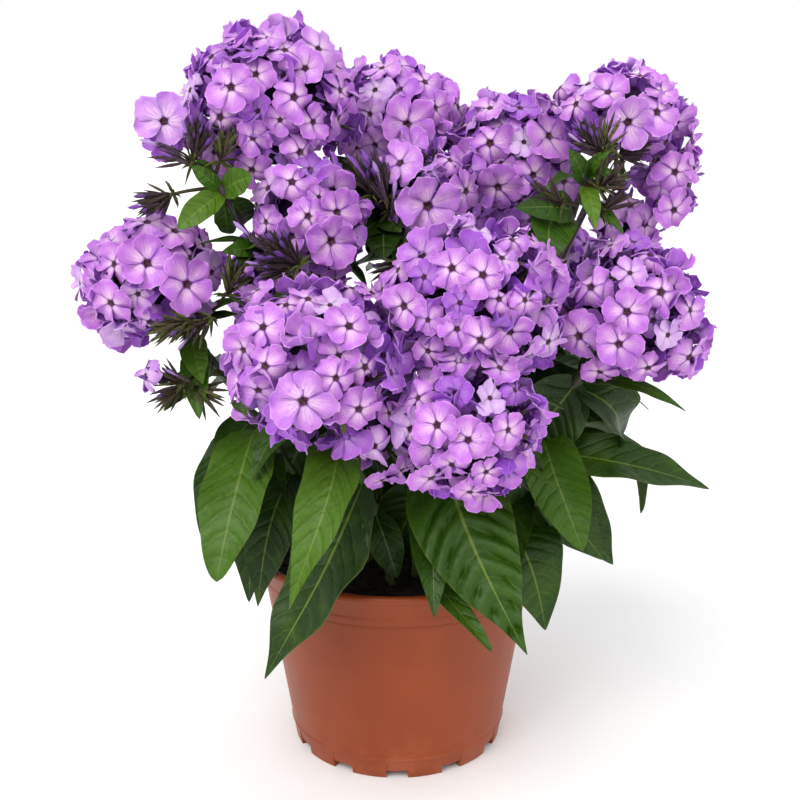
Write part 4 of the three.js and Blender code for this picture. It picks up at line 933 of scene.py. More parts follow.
def leaf_material():
    """Leaves: a pale midrib, side veins that sink between quilted fields with painted shade in the hollows
    beside them, a net of fine veins and a paler underside."""
    s = Shader("leaf", {"Specular IOR Level": 0.22})
    along, across, tint, under = s.tone()
    side = s.math("ABSOLUTE", across)
    s.ramp(tint, (0, (23, 44, 10)), (0.35, (34, 63, 10)), (0.7, (58, 95, 15)), (1, (98, 131, 34)))
    s.coat((66, 98, 18), s.step(s.noise(s.place(), 55), 0.42, 0.7), 0.4)
    small = s.noise(s.place(), 420, 4, 0.6)
    s.coat((18, 40, 6), s.step(small, 0.45, 0.75), 0.35)
    wobble = s.math("MULTIPLY_ADD", s.noise(s.place(), 160, 2), 0.5, -0.25)
    vein = s.math("PINGPONG", s.math("MULTIPLY_ADD", along, VEIN_PAIRS, wobble), 0.5)
    s.coat((84, 112, 34), s.step(vein, 0.045, 0.0), s.step(side, 1.0, 0.7), 0.3)
    # Darker beside the side veins, where the hollows sink: painted shade.
    s.coat((20, 44, 6), s.step(vein, 0.04, 0.14), s.step(vein, 0.45, 0.2), 0.16)
    net = s.step(s.cells(s.place(), 330), 0.09, 0.0)
    s.coat((84, 112, 40), net, 0.12)
    s.coat((118, 138, 56), s.step(side, MIDRIB_WIDTH, MIDRIB_WIDTH * 0.3), 0.55)
    s.coat((78, 92, 30), s.step(side, 0.93, 1.0), 0.4)
    s.coat((74, 98, 50), under, 0.7)
    height = s.math("ADD", s.step(vein, 0.0, 0.22), s.product(small, 0.5))
    height = s.math("ADD", height, s.product(net, -0.12))
    return s.made(height, 0.35, 0.8, roughness=s.math("MULTIPLY_ADD", small, 0.25, 0.26))


def stem_material():
    """Stems: green near the soil, streaked with dark purple towards the heads."""
    s = Shader("stem", {"Roughness": 0.45})
    along, across, tint, _ = s.tone()
    streak = s.streaks((along, across, tint), (3, 3, 1), 3, 4, 0.6)
    level = s.math("ADD", along, s.math("MULTIPLY_ADD", streak, 0.8, -0.4))
    s.ramp(level, (0, (84, 98, 44)), (0.35, (60, 80, 26)), (0.6, (58, 52, 40)), (0.95, (46, 26, 44)))
    fleck = s.noise(s.place(), 1200, 2)
    s.coat((110, 116, 84), s.step(fleck, 0.55, 0.75), 0.4)
    return s.made(s.math("ADD", streak, fleck), 0.2, 0.5)


def pot_material():
    """Satin moulded plastic in terracotta, mottled, with dust near the foot."""
    s = Shader("terracotta", {"Specular IOR Level": 0.3})
    along = s.tone()[0]
    cloud = s.noise(s.place(), 14, 4, 0.6)
    grain = s.noise(s.place(), 1400, 3, 0.6)
    s.ground((130, 55, 20))
    s.coat((142, 62, 24), s.step(cloud, 0.35, 0.7))
    s.coat((120, 48, 26), s.step(grain, 0.5, 0.8), 0.3)
    s.coat((168, 96, 66), s.step(along, 0.35, 0.0), s.step(s.noise(s.place(), 60, 5, 0.7), 0.4, 0.75), 0.45)
    height = s.math("ADD", grain, s.product(cloud, 0.4))
    return s.made(height, 0.06, 0.5, roughness=s.math("MULTIPLY_ADD", cloud, 0.22, 0.32))


def soil_material():
    """Moist peat, nearly black, with brown fibres and grey specks."""
    s = Shader("peat", {"Roughness": 0.9, "Specular IOR Level": 0.2})
    tint = s.tone()[2]
    lump = s.noise(s.place(), 240, 5, 0.7)
    speck = s.noise(s.place(), 1600)
    s.ramp(lump, (0.3, (8, 7, 7)), (0.55, (24, 19, 17)), (0.8, (52, 38, 30)))
    s.coat((50, 36, 26), tint, 0.5)
    s.coat((112, 96, 80), s.step(speck, 0.62, 0.75), 0.5)
    return s.made(s.math("ADD", lump, speck), 1.2, 0.9)


PETAL = petal_material()
EYE = eye_material()
ANTHER = anther_material()
FURLED = furled_material()
CALYX = calyx_material()
LEAF = leaf_material()
STEM = stem_material()
TERRACOTTA = pot_material()
PEAT = soil_material()

# ---- Pot and soil --------------------------------------------------------------------------------


def body_radius(height):
    """The radius of the pot's outside below the crease."""
    crease = RIM_RADIUS - LIP_PROUD - BAND_TAPER - CREASE_STEP
    return FOOT_RADIUS + (crease - FOOT_RADIUS) * height / BAND_BOTTOM


def rounded(corners):
    """A profile with its corners rounded: each corner is (radius, height, rounding)."""
    made = []
    for i, (x, z, rounding) in enumerate(corners):
        here = vector((x, z))
        if rounding == 0:
            made.append(here)
            continue
        start, end = (here + unit(vector(corners[j][:2]) - here) * rounding for j in (i - 1, i + 1))
        for t in np.linspace(0, 1, CORNER_STEPS + 1):
            made.append((1 - t) ** 2 * start + 2 * t * (1 - t) * here + t * t * end)
    return made


def pot_profile():
    """From the middle of the floor's underside out to the foot, up the outside, over the lip and down
    the inside to the middle of the floor."""
    band = RIM_RADIUS - LIP_PROUD
    crease = body_radius(BAND_BOTTOM)
    step = crease + CREASE_STEP
    inner_foot = FOOT_RADIUS - FOOT_WIDTH
    line = body_radius(FOOT_LINE)
    lip = POT_HEIGHT - LIP_DROP
    return rounded([
        (AXIS, FOOT_HEIGHT, 0),
        (inner_foot, FOOT_HEIGHT, 0.5),
        (inner_foot, 0, 0.5),
        (FOOT_RADIUS, 0, 0.7),
        (body_radius(FOOT_LINE - 1.2), FOOT_LINE - 1.2, 0.3),
        (line + 0.55, FOOT_LINE - 0.3, 0.3),
        (line + 0.1, FOOT_LINE + 0.8, 0.3),
        (body_radius(55), 55, 0),
        (body_radius(BAND_BOTTOM - 1.6), BAND_BOTTOM - 1.6, 0.3),
        (crease - 0.5, BAND_BOTTOM - 0.4, 0.3),
        (step - 0.2, BAND_BOTTOM + 0.5, 0.4),
        (step + 0.35, BAND_BOTTOM + 3.6, 0.3),
        (step + 0.15, BAND_BOTTOM + 4.6, 0.3),
        (band - 0.3, lip - 1.1, 0.3),
        (band + 0.4, lip - 0.6, 0.3),
        (RIM_RADIUS, lip + 0.3, 0.5),
        (RIM_RADIUS, POT_HEIGHT - 1, 0.7),
        (RIM_RADIUS - 1, POT_HEIGHT, 0.8),
        (band - WALL, POT_HEIGHT, 0.8),
        (crease - WALL, BAND_BOTTOM, 0.5),
        (body_radius(FOOT_HEIGHT) - WALL, FOOT_HEIGHT + WALL, 1),
        (AXIS, FOOT_HEIGHT + WALL, 0),
    ])


def pot_columns():
    """The angles of the columns of points round the pot and whether each lies in a notch of the foot.
    They are close together at the notches' sides."""
    half = math.degrees(math.asin(NOTCH_WIDTH / 2 / FOOT_RADIUS))
    spacing = 360 / NOTCHES
    inside = np.linspace(-half + NOTCH_SIDE, half - NOTCH_SIDE, 3)
    outside = np.linspace(half + NOTCH_SIDE, spacing - half - NOTCH_SIDE, 7)
    one = [(angle, True) for angle in inside] + [(angle, False) for angle in outside]
    return [(math.radians(angle - 90 + i * spacing), notched)
            for i in range(NOTCHES) for angle, notched in one]


def drill_drains(pot):
    """Cuts the drain holes through the pot's floor."""
    cutter = Pile()
    for i in range(DRAIN_HOLES):
        turn = math.radians(-90 + i * 360 / DRAIN_HOLES)
        plug, faces = lathe([(DRAIN_RADIUS, -3), (DRAIN_RADIUS, 12)], 24)
        cutter.add(plug + DRAIN_CIRCLE * heading(turn), faces, TERRACOTTA, tone_of(plug))
    mesh = bpy.data.meshes.new("drain_cutter")
    faces = [face.tolist() for group in cutter.faces for face in group]
    mesh.from_pydata(np.concatenate(cutter.points) * METRES, [], faces)
    tool = add_object("drain_cutter", mesh)
    holes = pot.modifiers.new("drains", "BOOLEAN")
    holes.operation = "DIFFERENCE"
    holes.solver = "EXACT"
    holes.object = tool
    graph = bpy.context.evaluated_depsgraph_get()
    drilled = bpy.data.meshes.new_from_object(pot.evaluated_get(graph))
    pot.modifiers.clear()
    pot.data = drilled
    bpy.data.objects.remove(tool)


def make_pot():
    profile = pot_profile()
    columns = pot_columns()
    in_ring = FOOT_RADIUS - FOOT_WIDTH - 1
    points = []
    for radius, height in profile:
        for turn, notched in columns:
            level = max(height, NOTCH_HEIGHT) if notched and radius > in_ring else height
            points.append((radius * math.cos(turn), radius * math.sin(turn), level))
    points = vector([*points, (0, 0, profile[0][1]), (0, 0, profile[-1][1])])
    pile = Pile()
    pile.add(points, capped_faces(len(profile), len(columns)), TERRACOTTA,
             tone_of(points, along=points[:, 2] / POT_HEIGHT))
    drill_drains(pile.build("nursery_pot", "pot", sharp=40))


def soil_height(x, y):
    """The height of the soil's top, as in the CAD source with finer unevenness."""
    coarse = SOIL_LUMP * np.sin(FULL_TURN * x / SOIL_WAVES[0] + 1) * np.cos(FULL_TURN * y / SOIL_WAVES[1])
    fine = 0.5 * np.sin(0.61 * x + 0.3 * y) * np.cos(0.53 * y - 0.2 * x) + 0.3 * np.sin(1.3 * x - 0.9 * y)
    return SOIL_TOP + coarse + fine


def soil_body(top, rng):
    """The soil down to the pot's floor, with a rough top of a radius."""
    floor = FOOT_HEIGHT + WALL + GAP
    low = body_radius(FOOT_HEIGHT) - WALL - GAP - 0.6
    angles = np.arange(SOIL_SIDES) * FULL_TURN / SOIL_SIDES
    rings = [ring_of(low, angles, floor)]
    shares = np.concatenate([[0.012], np.linspace(0.05, 1, 22)])
    for share in shares[::-1]:
        x, y = share * top * np.cos(angles), share * top * np.sin(angles)
        z = soil_height(x, y) + rng.normal(0, SOIL_GRAIN, SOIL_SIDES)
        rings.append(ring_of(share * top, angles, SOIL_TOP - SOIL_EDGE_DROP if share == 1 else z))
    middle = [[0, 0, floor], [0, 0, soil_height(0.0, 0.0)]]
    return np.concatenate([*rings, middle]), capped_faces(len(rings), SOIL_SIDES)


def make_soil():
    rng = np.random.default_rng(SEEDS["soil"])
    top = body_radius(BAND_BOTTOM) + (SOIL_TOP - BAND_BOTTOM) * 0.1 - WALL - GAP
    pile = Pile()
    points, faces = soil_body(top, rng)
    pile.add(points, faces, PEAT, tone_of(points, tint=0.2))
    crumb, faces = lathe([(0.55, -0.6), (1, 0), (0.6, 0.65)], 7)
    for _ in range(CRUMBS):
        radius = (top - CRUMB_MARGIN) * math.sqrt(rng.random())
        place = radius * heading(rng.random() * FULL_TURN)
        size = rng.uniform(*CRUMB_SIZES) * (0.6 + 0.4 * rng.random(3))
        shape = crumb * rng.uniform(0.75, 1.25, crumb.shape) * size
        shape = shape @ axes_facing(rng.normal(size=3) + UP * 0.5, rng.random() * 6)
        place[2] = soil_height(*place[:2]) + 0.2 * size[2]
        pile.add(shape + place, faces, PEAT, tone_of(shape, tint=rng.random()))
    for _ in range(FIBRES):
        radius = (top - FIBRE_MARGIN) * math.sqrt(rng.random())
        turn, lies = rng.random(2) * FULL_TURN
        middle = radius * heading(turn)
        reach = heading(lies) * rng.uniform(*FIBRE_REACHES)
        path = np.array([middle - reach, middle + rng.normal(0, 0.8, 3), middle + reach])
        path[:, 2] = soil_height(path[:, 0], path[:, 1]) + np.array([0.3, 1.2, 0.4])
        path = bezier(path, np.linspace(0, 1, 5))
        if np.hypot(path[:, 0], path[:, 1]).max() < top - 1:
            points, faces = sweep(path, np.full(5, FIBRE_RADIUS), 5)
            pile.add(points, faces, PEAT, tone_of(points, tint=1.0))
    pile.build("peat_top", "soil", sharp=50)


# ---- Stems and shoots ----------------------------------------------------------------------------

LOBES = {name: [(vector(centre), vector(radii)) for centre, radii in head["lobes"]]
         for name, head in HEADS.items()}
stem_curves = {}             # the centre line of each stem and shoot
stem_owner = {}              # the CAD node that each grows in


def add_stem_curve(name):
    head = HEADS[name]
    centre, radii = LOBES[name][0]
    facing = unit(vector(head["faces"]))
    end = centre - facing * STEM_REACH * radii.min()
    if "branch" in head:
        stem_owner[name], height = head["branch"]
        start = at_height(stem_curves[stem_owner[name]], height)
    else:
        stem_owner[name] = name
        start = vector((*head["foot"], STEM_FOOT))
    reach = STEM_EASE * np.linalg.norm(end - start)
    knots = [start, start + UP * reach, end - facing * reach, end]
    stem_curves[name] = lambda t: bezier(knots, t)


def add_shoot_curve(name):
    stem, height, via, tip = SHOOTS[name]
    stem_curves[name] = spline_through(at_height(stem_curves[stem], height), vector(via), vector(tip))
    stem_owner[name] = stem


for head_name in HEADS:
    add_stem_curve(head_name)
for shoot_name in SHOOTS:
    add_shoot_curve(shoot_name)


def stem_body(pile, name, kind, joints, tint):
    """A tapered stem that swells a little at its leaf nodes."""
    path = stem_curves[name](np.linspace(0, 1, STEM_RINGS))
    radii = np.linspace(*STEM_WIDTHS[kind], STEM_RINGS)
    for height in joints:
        radii = radii + NODE_SWELL * np.exp(-((path[:, 2] - height) / NODE_LENGTH) ** 2)
    points, faces = sweep(path, radii, STEM_SIDES)
    along = np.clip((points[:, 2] - STEM_FOOT) / PURPLE_HEIGHT, 0, 1)
    pile.add(points, faces, STEM, tone_of(points, along, around_tube(STEM_RINGS, STEM_SIDES), tint))


# ---- Leaves --------------------------------------------------------------------------------------


def leaf_outline(along, width, blunt):
    """Half the width of a leaf along its midrib: a pointed outline."""
    fullness = np.sin(math.pi * along ** (0.64 + 0.45 * blunt)) ** (0.85 - 0.3 * blunt)
    fullness *= 1 - 0.45 * (1 - blunt) * smooth(0.7, 1, along)
    return np.maximum(width / 2 * fullness, STALK_WIDTH * (1 - 0.85 * along))


def quilt_depth(width, large, rng):
    small, most, broad = QUILTS
    if width > BROAD_LEAF:
        return broad
    return rng.uniform(small, most) if large else small


def leaf_sheet(node, tip, width, bow, looks, blunt, rng, sway=None):
    """A blade from its node to its tip: an arched midrib, halves that rise from it, waved edges, and
    hollows along the side veins."""
    chord = tip - node
    length = np.linalg.norm(chord)
    ahead = chord / length
    looks = vector(looks)
    face = unit(looks - ahead * (looks @ ahead))
    side = np.cross(ahead, face)
    middle = node + BELLY * chord + face * 2 * bow * length
    large = length > LARGE_LEAF
    pairs, columns = LARGE_MESH if large else SMALL_MESH
    row, across = np.meshgrid(np.linspace(0, 1, 4 * pairs + 1), np.linspace(-1, 1, columns), indexing="ij")
    flank = np.abs(across)
    # Each row follows a side vein: towards the edges it runs forward.
    along = row + VEIN_SLANT * flank ** 1.15 * smooth(0, 0.2, row) * (1 - row)
    half = leaf_outline(along, width, blunt)
    path = bezier([node, middle, tip], along.ravel()).reshape(*along.shape, 3)
    tangents = 2 * (1 - along)[..., None] * (middle - node) + 2 * along[..., None] * (tip - middle)
    normals = np.cross(side, tangents)
    normals /= np.linalg.norm(normals, axis=-1)[..., None]
    lift = half * rng.uniform(*EDGE_RISES) * flank ** 1.3
    for hand in (-1, 1):
        waves, phase = rng.uniform(*EDGE_WAVES), rng.uniform(0, FULL_TURN)
        wave = np.sin(FULL_TURN * waves * along + phase) * flank ** 2 * smooth(0, 0.25, along)
        lift += np.where(across * hand > 0, WAVE_HEIGHT * half * wave, 0)
    hollow = 1 - np.abs(np.sin(math.pi * row * pairs))
    inner = (4 * flank * (1 - flank)) ** 0.8
    quilt = quilt_depth(width, large, rng)
    lift -= quilt * width * hollow * inner * smooth(0.02, 0.15, row) * smooth(1, 0.85, row)
    lift -= GROOVE * width * np.exp(-(across / 0.12) ** 2) * smooth(0, 0.1, along) * (1 - along)
    bend = rng.uniform(-SWAY, SWAY) if sway is None else sway
    bend = bend * length * np.sin(math.pi * np.minimum(along, 1))
    points = path + side * (bend + across * half)[..., None] + normals * lift[..., None]
    under = points - normals * (LEAF_THICKNESS + 0.2 * quilt * width)
    both = np.concatenate([points.reshape(-1, 3), under.reshape(-1, 3)])
    faces = [group[:, ::-1] for group in sheet_faces(*along.shape)]
    return both, faces, sheet_tones(both, row * pairs / VEIN_PAIRS, across, 1)


def cad_corners(name):
    """A search tree over the corners of a CAD node."""
    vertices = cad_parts[name].data.vertices
    tree = kdtree.KDTree(len(vertices))
    for i, v in enumerate(vertices):
        tree.insert(v.co / METRES, i)
    tree.balance()
    return tree


def bent_tip(node, tip, corners):
    """Where the CAD leaf's tip is: the source turns and raises a leaf until it is clear of others.
    None if it was left out."""
    for raised in LEAF_RAISES:
        for turn in LEAF_TURNS:
            chord = turned(tip - node, UP, turn)
            chord = turned(chord, unit(np.cross(chord, UP)), raised)
            if corners.find(Vector(node + chord))[2] < FOUND:
                return node + chord
    return None


def pair_leaves(host, rng):
    """The plain leaves of one stem, as rows like those of LEAVES."""
    height, bearing, pairs = LEAF_PAIRS[host]
    for pair in range(pairs):
        level = height + pair * PAIR_SPACING
        node = at_height(stem_curves[host], level)
        length = LOW_LEAF_LENGTH + (TOP_LEAF_LENGTH - LOW_LEAF_LENGTH) * pair / MOST_PAIRS
        for side in (0, 180):
            out = heading(math.radians(bearing + 90 * pair + side))
            tip = node + out * length * math.sqrt(1 - LEAF_DROOP ** 2) - UP * length * LEAF_DROOP
            yield (level, tip, length * LEAF_ASPECT, PAIR_BOW, UPWARD,
                   rng.uniform(0.1, 0.7), rng.uniform(0.1, 0.6))


def upper_leaves(host, rng):
    """Small leaves in pairs up to the head, as rows like those of LEAVES."""
    curve = stem_curves[host]
    start, end = curve(0)[0], curve(1)[0]
    level = max(BACK_START, start[2] + 12) + rng.uniform(0, 12)
    bearing = rng.uniform(0, FULL_TURN)
    lobes = [lobe for head_lobes in LOBES.values() for lobe in head_lobes]
    while level < end[2] - UPPER_END:
        share = max(level - UPPER_START, 0) / UPPER_RANGE
        for side in (0, math.pi):
            length = np.interp(share, (0, 1), UPPER_LENGTHS) * rng.uniform(0.85, 1.15)
            turn = bearing + side + rng.uniform(-0.3, 0.3)
            out = unit(heading(turn, rng.uniform(*UPPER_RISES)))
            if level < UPPER_START and out[1] < BACKWARD:
                continue
            node = at_height(curve, level)
            spots = [node + out * length * part for part in (0.5, 0.75, 1)]
            if all(depth_in(lobe, spot) > HEAD_ROOM for lobe in lobes for spot in spots):
                yield (level, node + out * length, length * UPPER_ASPECT, UPPER_BOW, UPWARD,
                       rng.uniform(0.15, 0.6), 0.6)
        level += UPPER_SPACING * rng.uniform(0.85, 1.15)
        bearing += math.pi / 2


def leaves_of(host, corners, rng):
    """The rows of all the leaves of one stem or shoot, with their tips where they are in the CAD."""
    leaves = [(height, vector(tip), *rest) for owner, height, tip, *rest in LEAVES if owner == host]
    if host in LEAF_PAIRS:
        leaves += pair_leaves(host, rng)
    bent = []
    for height, tip, *rest in leaves:
        found = bent_tip(at_height(stem_curves[host], height), tip, corners)
        if found is not None:
            bent.append((height, found, *rest))
    bent += [(height, seen_at(*pixel, depth), *rest)
             for owner, height, pixel, depth, *rest in MORE_LEAVES if owner == host]
    if host not in SHOOTS:
        bent += upper_leaves(host, rng)
    return bent


def make_leafy_stem(name, seed):
    rng = np.random.default_rng(seed)
    corners = cad_corners(f"leafy_stem_{name}")
    pile = Pile()
    for host in [host for host, owner in stem_owner.items() if owner == name]:
        kind = "shoot" if host in SHOOTS else "branch" if "branch" in HEADS[host] else "stem"
        leaves = leaves_of(host, corners, rng)
        stem_body(pile, host, kind, [leaf[0] for leaf in leaves], rng.random())
        for height, tip, width, bow, looks, tint, blunt, *sway in leaves:
            node = at_height(stem_curves[host], height)
            points, faces, tones = leaf_sheet(node, tip, width, bow, looks, blunt, rng, *sway)
            tones[:, 2] = tint
            pile.add(points, faces, LEAF, tones)
    pile.build(f"stem_and_leaves_{name}", f"leafy_stem_{name}")


# ---- Florets -------------------------------------------------------------------------------------


def petal_sheet(grid, cup, curl, rng):
    """One petal of a floret of radius 1, along +X: a narrow base, a broad rounded end, one shoulder
    higher than the other, and ripples. cup is its slope at the eye and curl how far it bends."""
    reach = (1 - THROAT_RADIUS) * rng.uniform(0.84, 1.1)
    breadth = rng.uniform(0.86, 1.14)
    along, across = np.meshgrid(*grid, indexing="ij")
    half = breadth * (0.115 + 0.37 * np.sin(0.86 * math.pi * along ** 1.25))
    notch = rng.uniform(0, 0.07) * np.exp(-(across / 0.3) ** 2) * along ** 6
    rim = rng.normal(0, RIM_ROUGHNESS, across.shape[1]) * along ** 4
    share = along - 0.15 * along ** 2 * across ** 2 - notch + rim
    angle = cup + curl * share
    x = THROAT_RADIUS + reach * (np.sin(angle) - math.sin(cup)) / curl
    z = reach * (math.cos(cup) - np.cos(angle)) / curl
    twist = rng.uniform(0.15, 0.45)
    ripple = rng.uniform(0.03, 0.09)
    phase = rng.uniform(0, FULL_TURN, 2)
    side = across * half
    lift = twist * side * smooth(0, 0.5, along)
    lift += rng.uniform(-0.65, 0.4) * half * across ** 2 * along
    lift += ripple * np.sin(5 * across + phase[0]) * along ** 2
    lift += ripple * np.sin(7 * along + phase[1]) * across * along
    lift -= 0.05 * np.exp(-(across / 0.25) ** 2) * np.sin(math.pi * along)
    points = np.stack([x - lift * np.sin(angle), side, z + lift * np.cos(angle)], axis=-1)
    normals = np.stack([-np.sin(angle), np.zeros_like(angle), np.cos(angle)], axis=-1)
    under = points - normals * PETAL_THICKNESS
    both = np.concatenate([points.reshape(-1, 3), under.reshape(-1, 3)])
    return both, sheet_faces(*along.shape), PETAL, sheet_tones(both, along, across, 0.3)


def floret_mouth(sides):
    """The tube below the petals and the dark eye at its top, each a body with the same points."""
    profile = [(0.06, -TUBE_LENGTH), (0.075, -0.5), (0.09, -0.15), (MOUTH_RADIUS, -0.01), (0.125, 0.015),
               (0.08, -0.05)]
    points, (wall, low, high) = lathe(profile, sides)
    points[-1, 2] = -0.1
    rise = np.clip((points[:, 2] + TUBE_LENGTH) / TUBE_LENGTH, 0, 1)
    inner = np.hypot(points[:, 0], points[:, 1]) / MOUTH_RADIUS
    outside = 3 * sides
    return [(points, [wall[:outside], low], FURLED, tone_of(points, along=rise * 0.5)),
            (points, [wall[outside:], high], EYE, tone_of(points, along=inner))]


def floret_template(grid, sides, anthers, cup, curl, spread, rng):
    """Bodies of a floret of radius 1 that faces +Z: petals, tube, eye and anthers."""
    parts = []
    for i in range(PETALS):
        points, *rest = petal_sheet(grid, cup + rng.uniform(-spread, spread),
                                    curl + rng.uniform(-spread, spread) * 1.5, rng)
        turn = (i + rng.uniform(-0.1, 0.1)) * FULL_TURN / PETALS
        c, s = math.cos(turn), math.sin(turn)
        points = points @ np.array([[c, s, 0], [-s, c, 0], [0, 0, 1.0]])
        points[:, 2] += rng.uniform(-0.012, 0.012)
        parts.append((points, *rest))
    parts += floret_mouth(sides)
    for i in range(anthers):
        turn = i * 2.1 + rng.uniform(-0.3, 0.3)
        grain, faces = lathe([(0.006, -0.03), (0.017, 0), (0.006, 0.03)], 4)
        grain = grain @ axes_facing(heading(turn, 0.5)) + 0.07 * heading(turn) - 0.04 * UP
        parts.append((grain, faces, ANTHER, tone_of(grain)))
    return parts


def calyx_body(base):
    """A ribbed calyx of a floret of radius 1, with its foot at a height and five teeth."""
    profile = [(0.04, 0), (0.075, 0.12), (0.088, 0.4), (0.1, 0.62)]
    profile = [(radius, height * CALYX_LENGTH / 0.6) for radius, height in profile]
    points, faces = lathe(profile, CALYX_SIDES, five_lobed(0.1))
    teeth = np.arange(3 * CALYX_SIDES, 4 * CALYX_SIDES, 2)
    points[teeth, 2] += 0.24
    points[teeth, :2] *= 1.15
    points[-1, 2] -= 0.03
    points[:, 2] += base
    along = (points[:, 2] - base) / (CALYX_LENGTH + 0.2)
    return points, faces, CALYX, tone_of(points, along, around_tube(4, CALYX_SIDES))


def closed_calyx(rng):
    """A slender calyx of length about 1 whose teeth still meet at the top."""
    wide = rng.uniform(0.055, 0.075)
    profile = [(0.03, 0), (0.8 * wide, 0.12), (wide, 0.38), (0.7 * wide, 0.68), (0.004, 0.98)]
    points, faces = lathe(profile, CALYX_SIDES, five_lobed(0.16))
    tones = tone_of(points, np.clip(points[:, 2], 0, 1), around_tube(len(profile), CALYX_SIDES))
    return [(points, faces, CALYX, tones)]


def furled_bud(length, rng):
    """A bud that faces +Z, with a calyx and a corolla still wound in a spiral."""
    long = length * rng.uniform(0.93, 1.07)
    profile = [(0.045, 0.3), (0.045, 0.6), (0.055, 0.8), (0.08, 0.98), (0.07, 1.12), (0.015, 1.26)]
    points, faces = lathe([(r, z * long) for r, z in profile], CALYX_SIDES, five_lobed(0.14, 3.0))
    along = np.clip(points[:, 2] / 1.3 / long, 0, 1)
    tones = tone_of(points, along, around_tube(len(profile), CALYX_SIDES))
    return [(points, faces, FURLED, tones), calyx_body(-0.05)]


def make_templates(grid, sides, seed, anthers=0):
    """The florets of each form, made on a grid of points."""
    rng = np.random.default_rng(seed)
    return {
        form: [
            floret_template(grid, sides, anthers, math.radians(rng.uniform(*cups)),
                            math.radians(rng.uniform(*curls)), math.radians(spread), rng)
            for _ in range(count)
        ]
        for form, (count, cups, curls, spread) in FORMS.items()
    }


def make_buds(make, count, seed, *values):
    return [make(*values, np.random.default_rng(seed + i)) for i in range(count)]


FINE_FLORETS = make_templates(FINE_GRID, 10, SEEDS["fine florets"], ANTHERS)
PLAIN_FLORETS = make_templates(PLAIN_GRID, 7, SEEDS["plain florets"])
ROUGH_FLORETS = make_templates(ROUGH_GRID, 5, SEEDS["rough florets"])
OPEN_CALYX = [calyx_body(-CALYX_FOOT)]
CLOSED_CALYCES = make_buds(closed_calyx, 3, SEEDS["calyces"])
SHORT_BUDS = make_buds(furled_bud, 3, SEEDS["short buds"], 0.85)
LONG_BUDS = make_buds(furled_bud, 4, SEEDS["long buds"], 1.05)


def put(pile, template, place, axes, size, tint, shade=0.0):
    """Adds the bodies of a template, scaled, turned and moved."""
    for points, faces, finish, tones in template:
        tones = tones.copy()
        tones[:, 2] = tint
        tones[:, 3] = np.clip(tones[:, 3] + shade, 0, 1)
        pile.add(points * size @ axes + place, faces, finish, tones)


def add_stalk(pile, start, end, facing, radii, sides, tint=0.5, shade=0.0):
    """A thin curved stalk that ends in the way its floret or bud faces."""
    reach = STALK_EASE * np.linalg.norm(end - start)
    pile.add_twig([start, end - facing * reach, end], radii, sides, tint, shade)


# ---- Flower heads --------------------------------------------------------------------------------


def depth_in(lobe, point):
    """How deep a point lies in a lobe: 0 in its middle and 1 at its surface."""
    centre, radii = lobe
    return np.linalg.norm((point - centre) / radii)


def hit_lobes(lobes, ray, share):
    """Where a ray from the camera first meets the lobes, each scaled by a share, or where it passes
    closest to one of them. Gives the point and the lobe."""
    best = None
    for centre, radii in lobes:
        scaled = radii * share
        start, slope = (CAMERA_PLACE - centre) / scaled, ray / scaled
        a, b, c = slope @ slope, start @ slope, start @ start - 1
        inside = b * b - a * c
        distance = (-b - math.sqrt(max(inside, 0))) / a
        rank = (max(-inside, 0), distance)
        if best is None or rank < best[0]:
            best = (rank, CAMERA_PLACE + ray * distance, (centre, radii))
    return best[1], best[2]


def hero_placements(name, rng):
    """Place, facing, radius and tint of each floret that the photograph shows in a head."""
    placed = []
    for u, v, pixels, right, up, *tint in HERO_FLORETS.get(name, []):
        ray = pixel_ray(u, v)
        seat = np.interp(pixels, *zip(*HERO_SEATS)) + rng.uniform(-SEAT_SPREAD, SEAT_SPREAD)
        place, (centre, radii) = hit_lobes(LOBES[name], ray, seat)
        radius = pixels * ((place - CAMERA_PLACE) @ AHEAD) / FOCAL_PIXELS
        facing = unit((place - centre) / radii ** 2) - ray * FACE_CAMERA + (RIGHT * right + ABOVE * up)
        placed.append((place, unit(facing), radius, tint[0] if tint else PLAIN))
    return placed


def in_clearing(place, radius, clearings):
    u, v, scale = pixel_of(place)
    return any(math.hypot(u - cu, v - cv) < cr + CLEAR_SHARE * radius * scale for cu, cv, cr in clearings)


def has_room(place, radius, florets, share):
    """Whether a floret's eye keeps a share of the mean radius away from those of others."""
    return all(np.linalg.norm(place - p) >= share * (r + radius) / 2 for p, _, r, _ in florets)


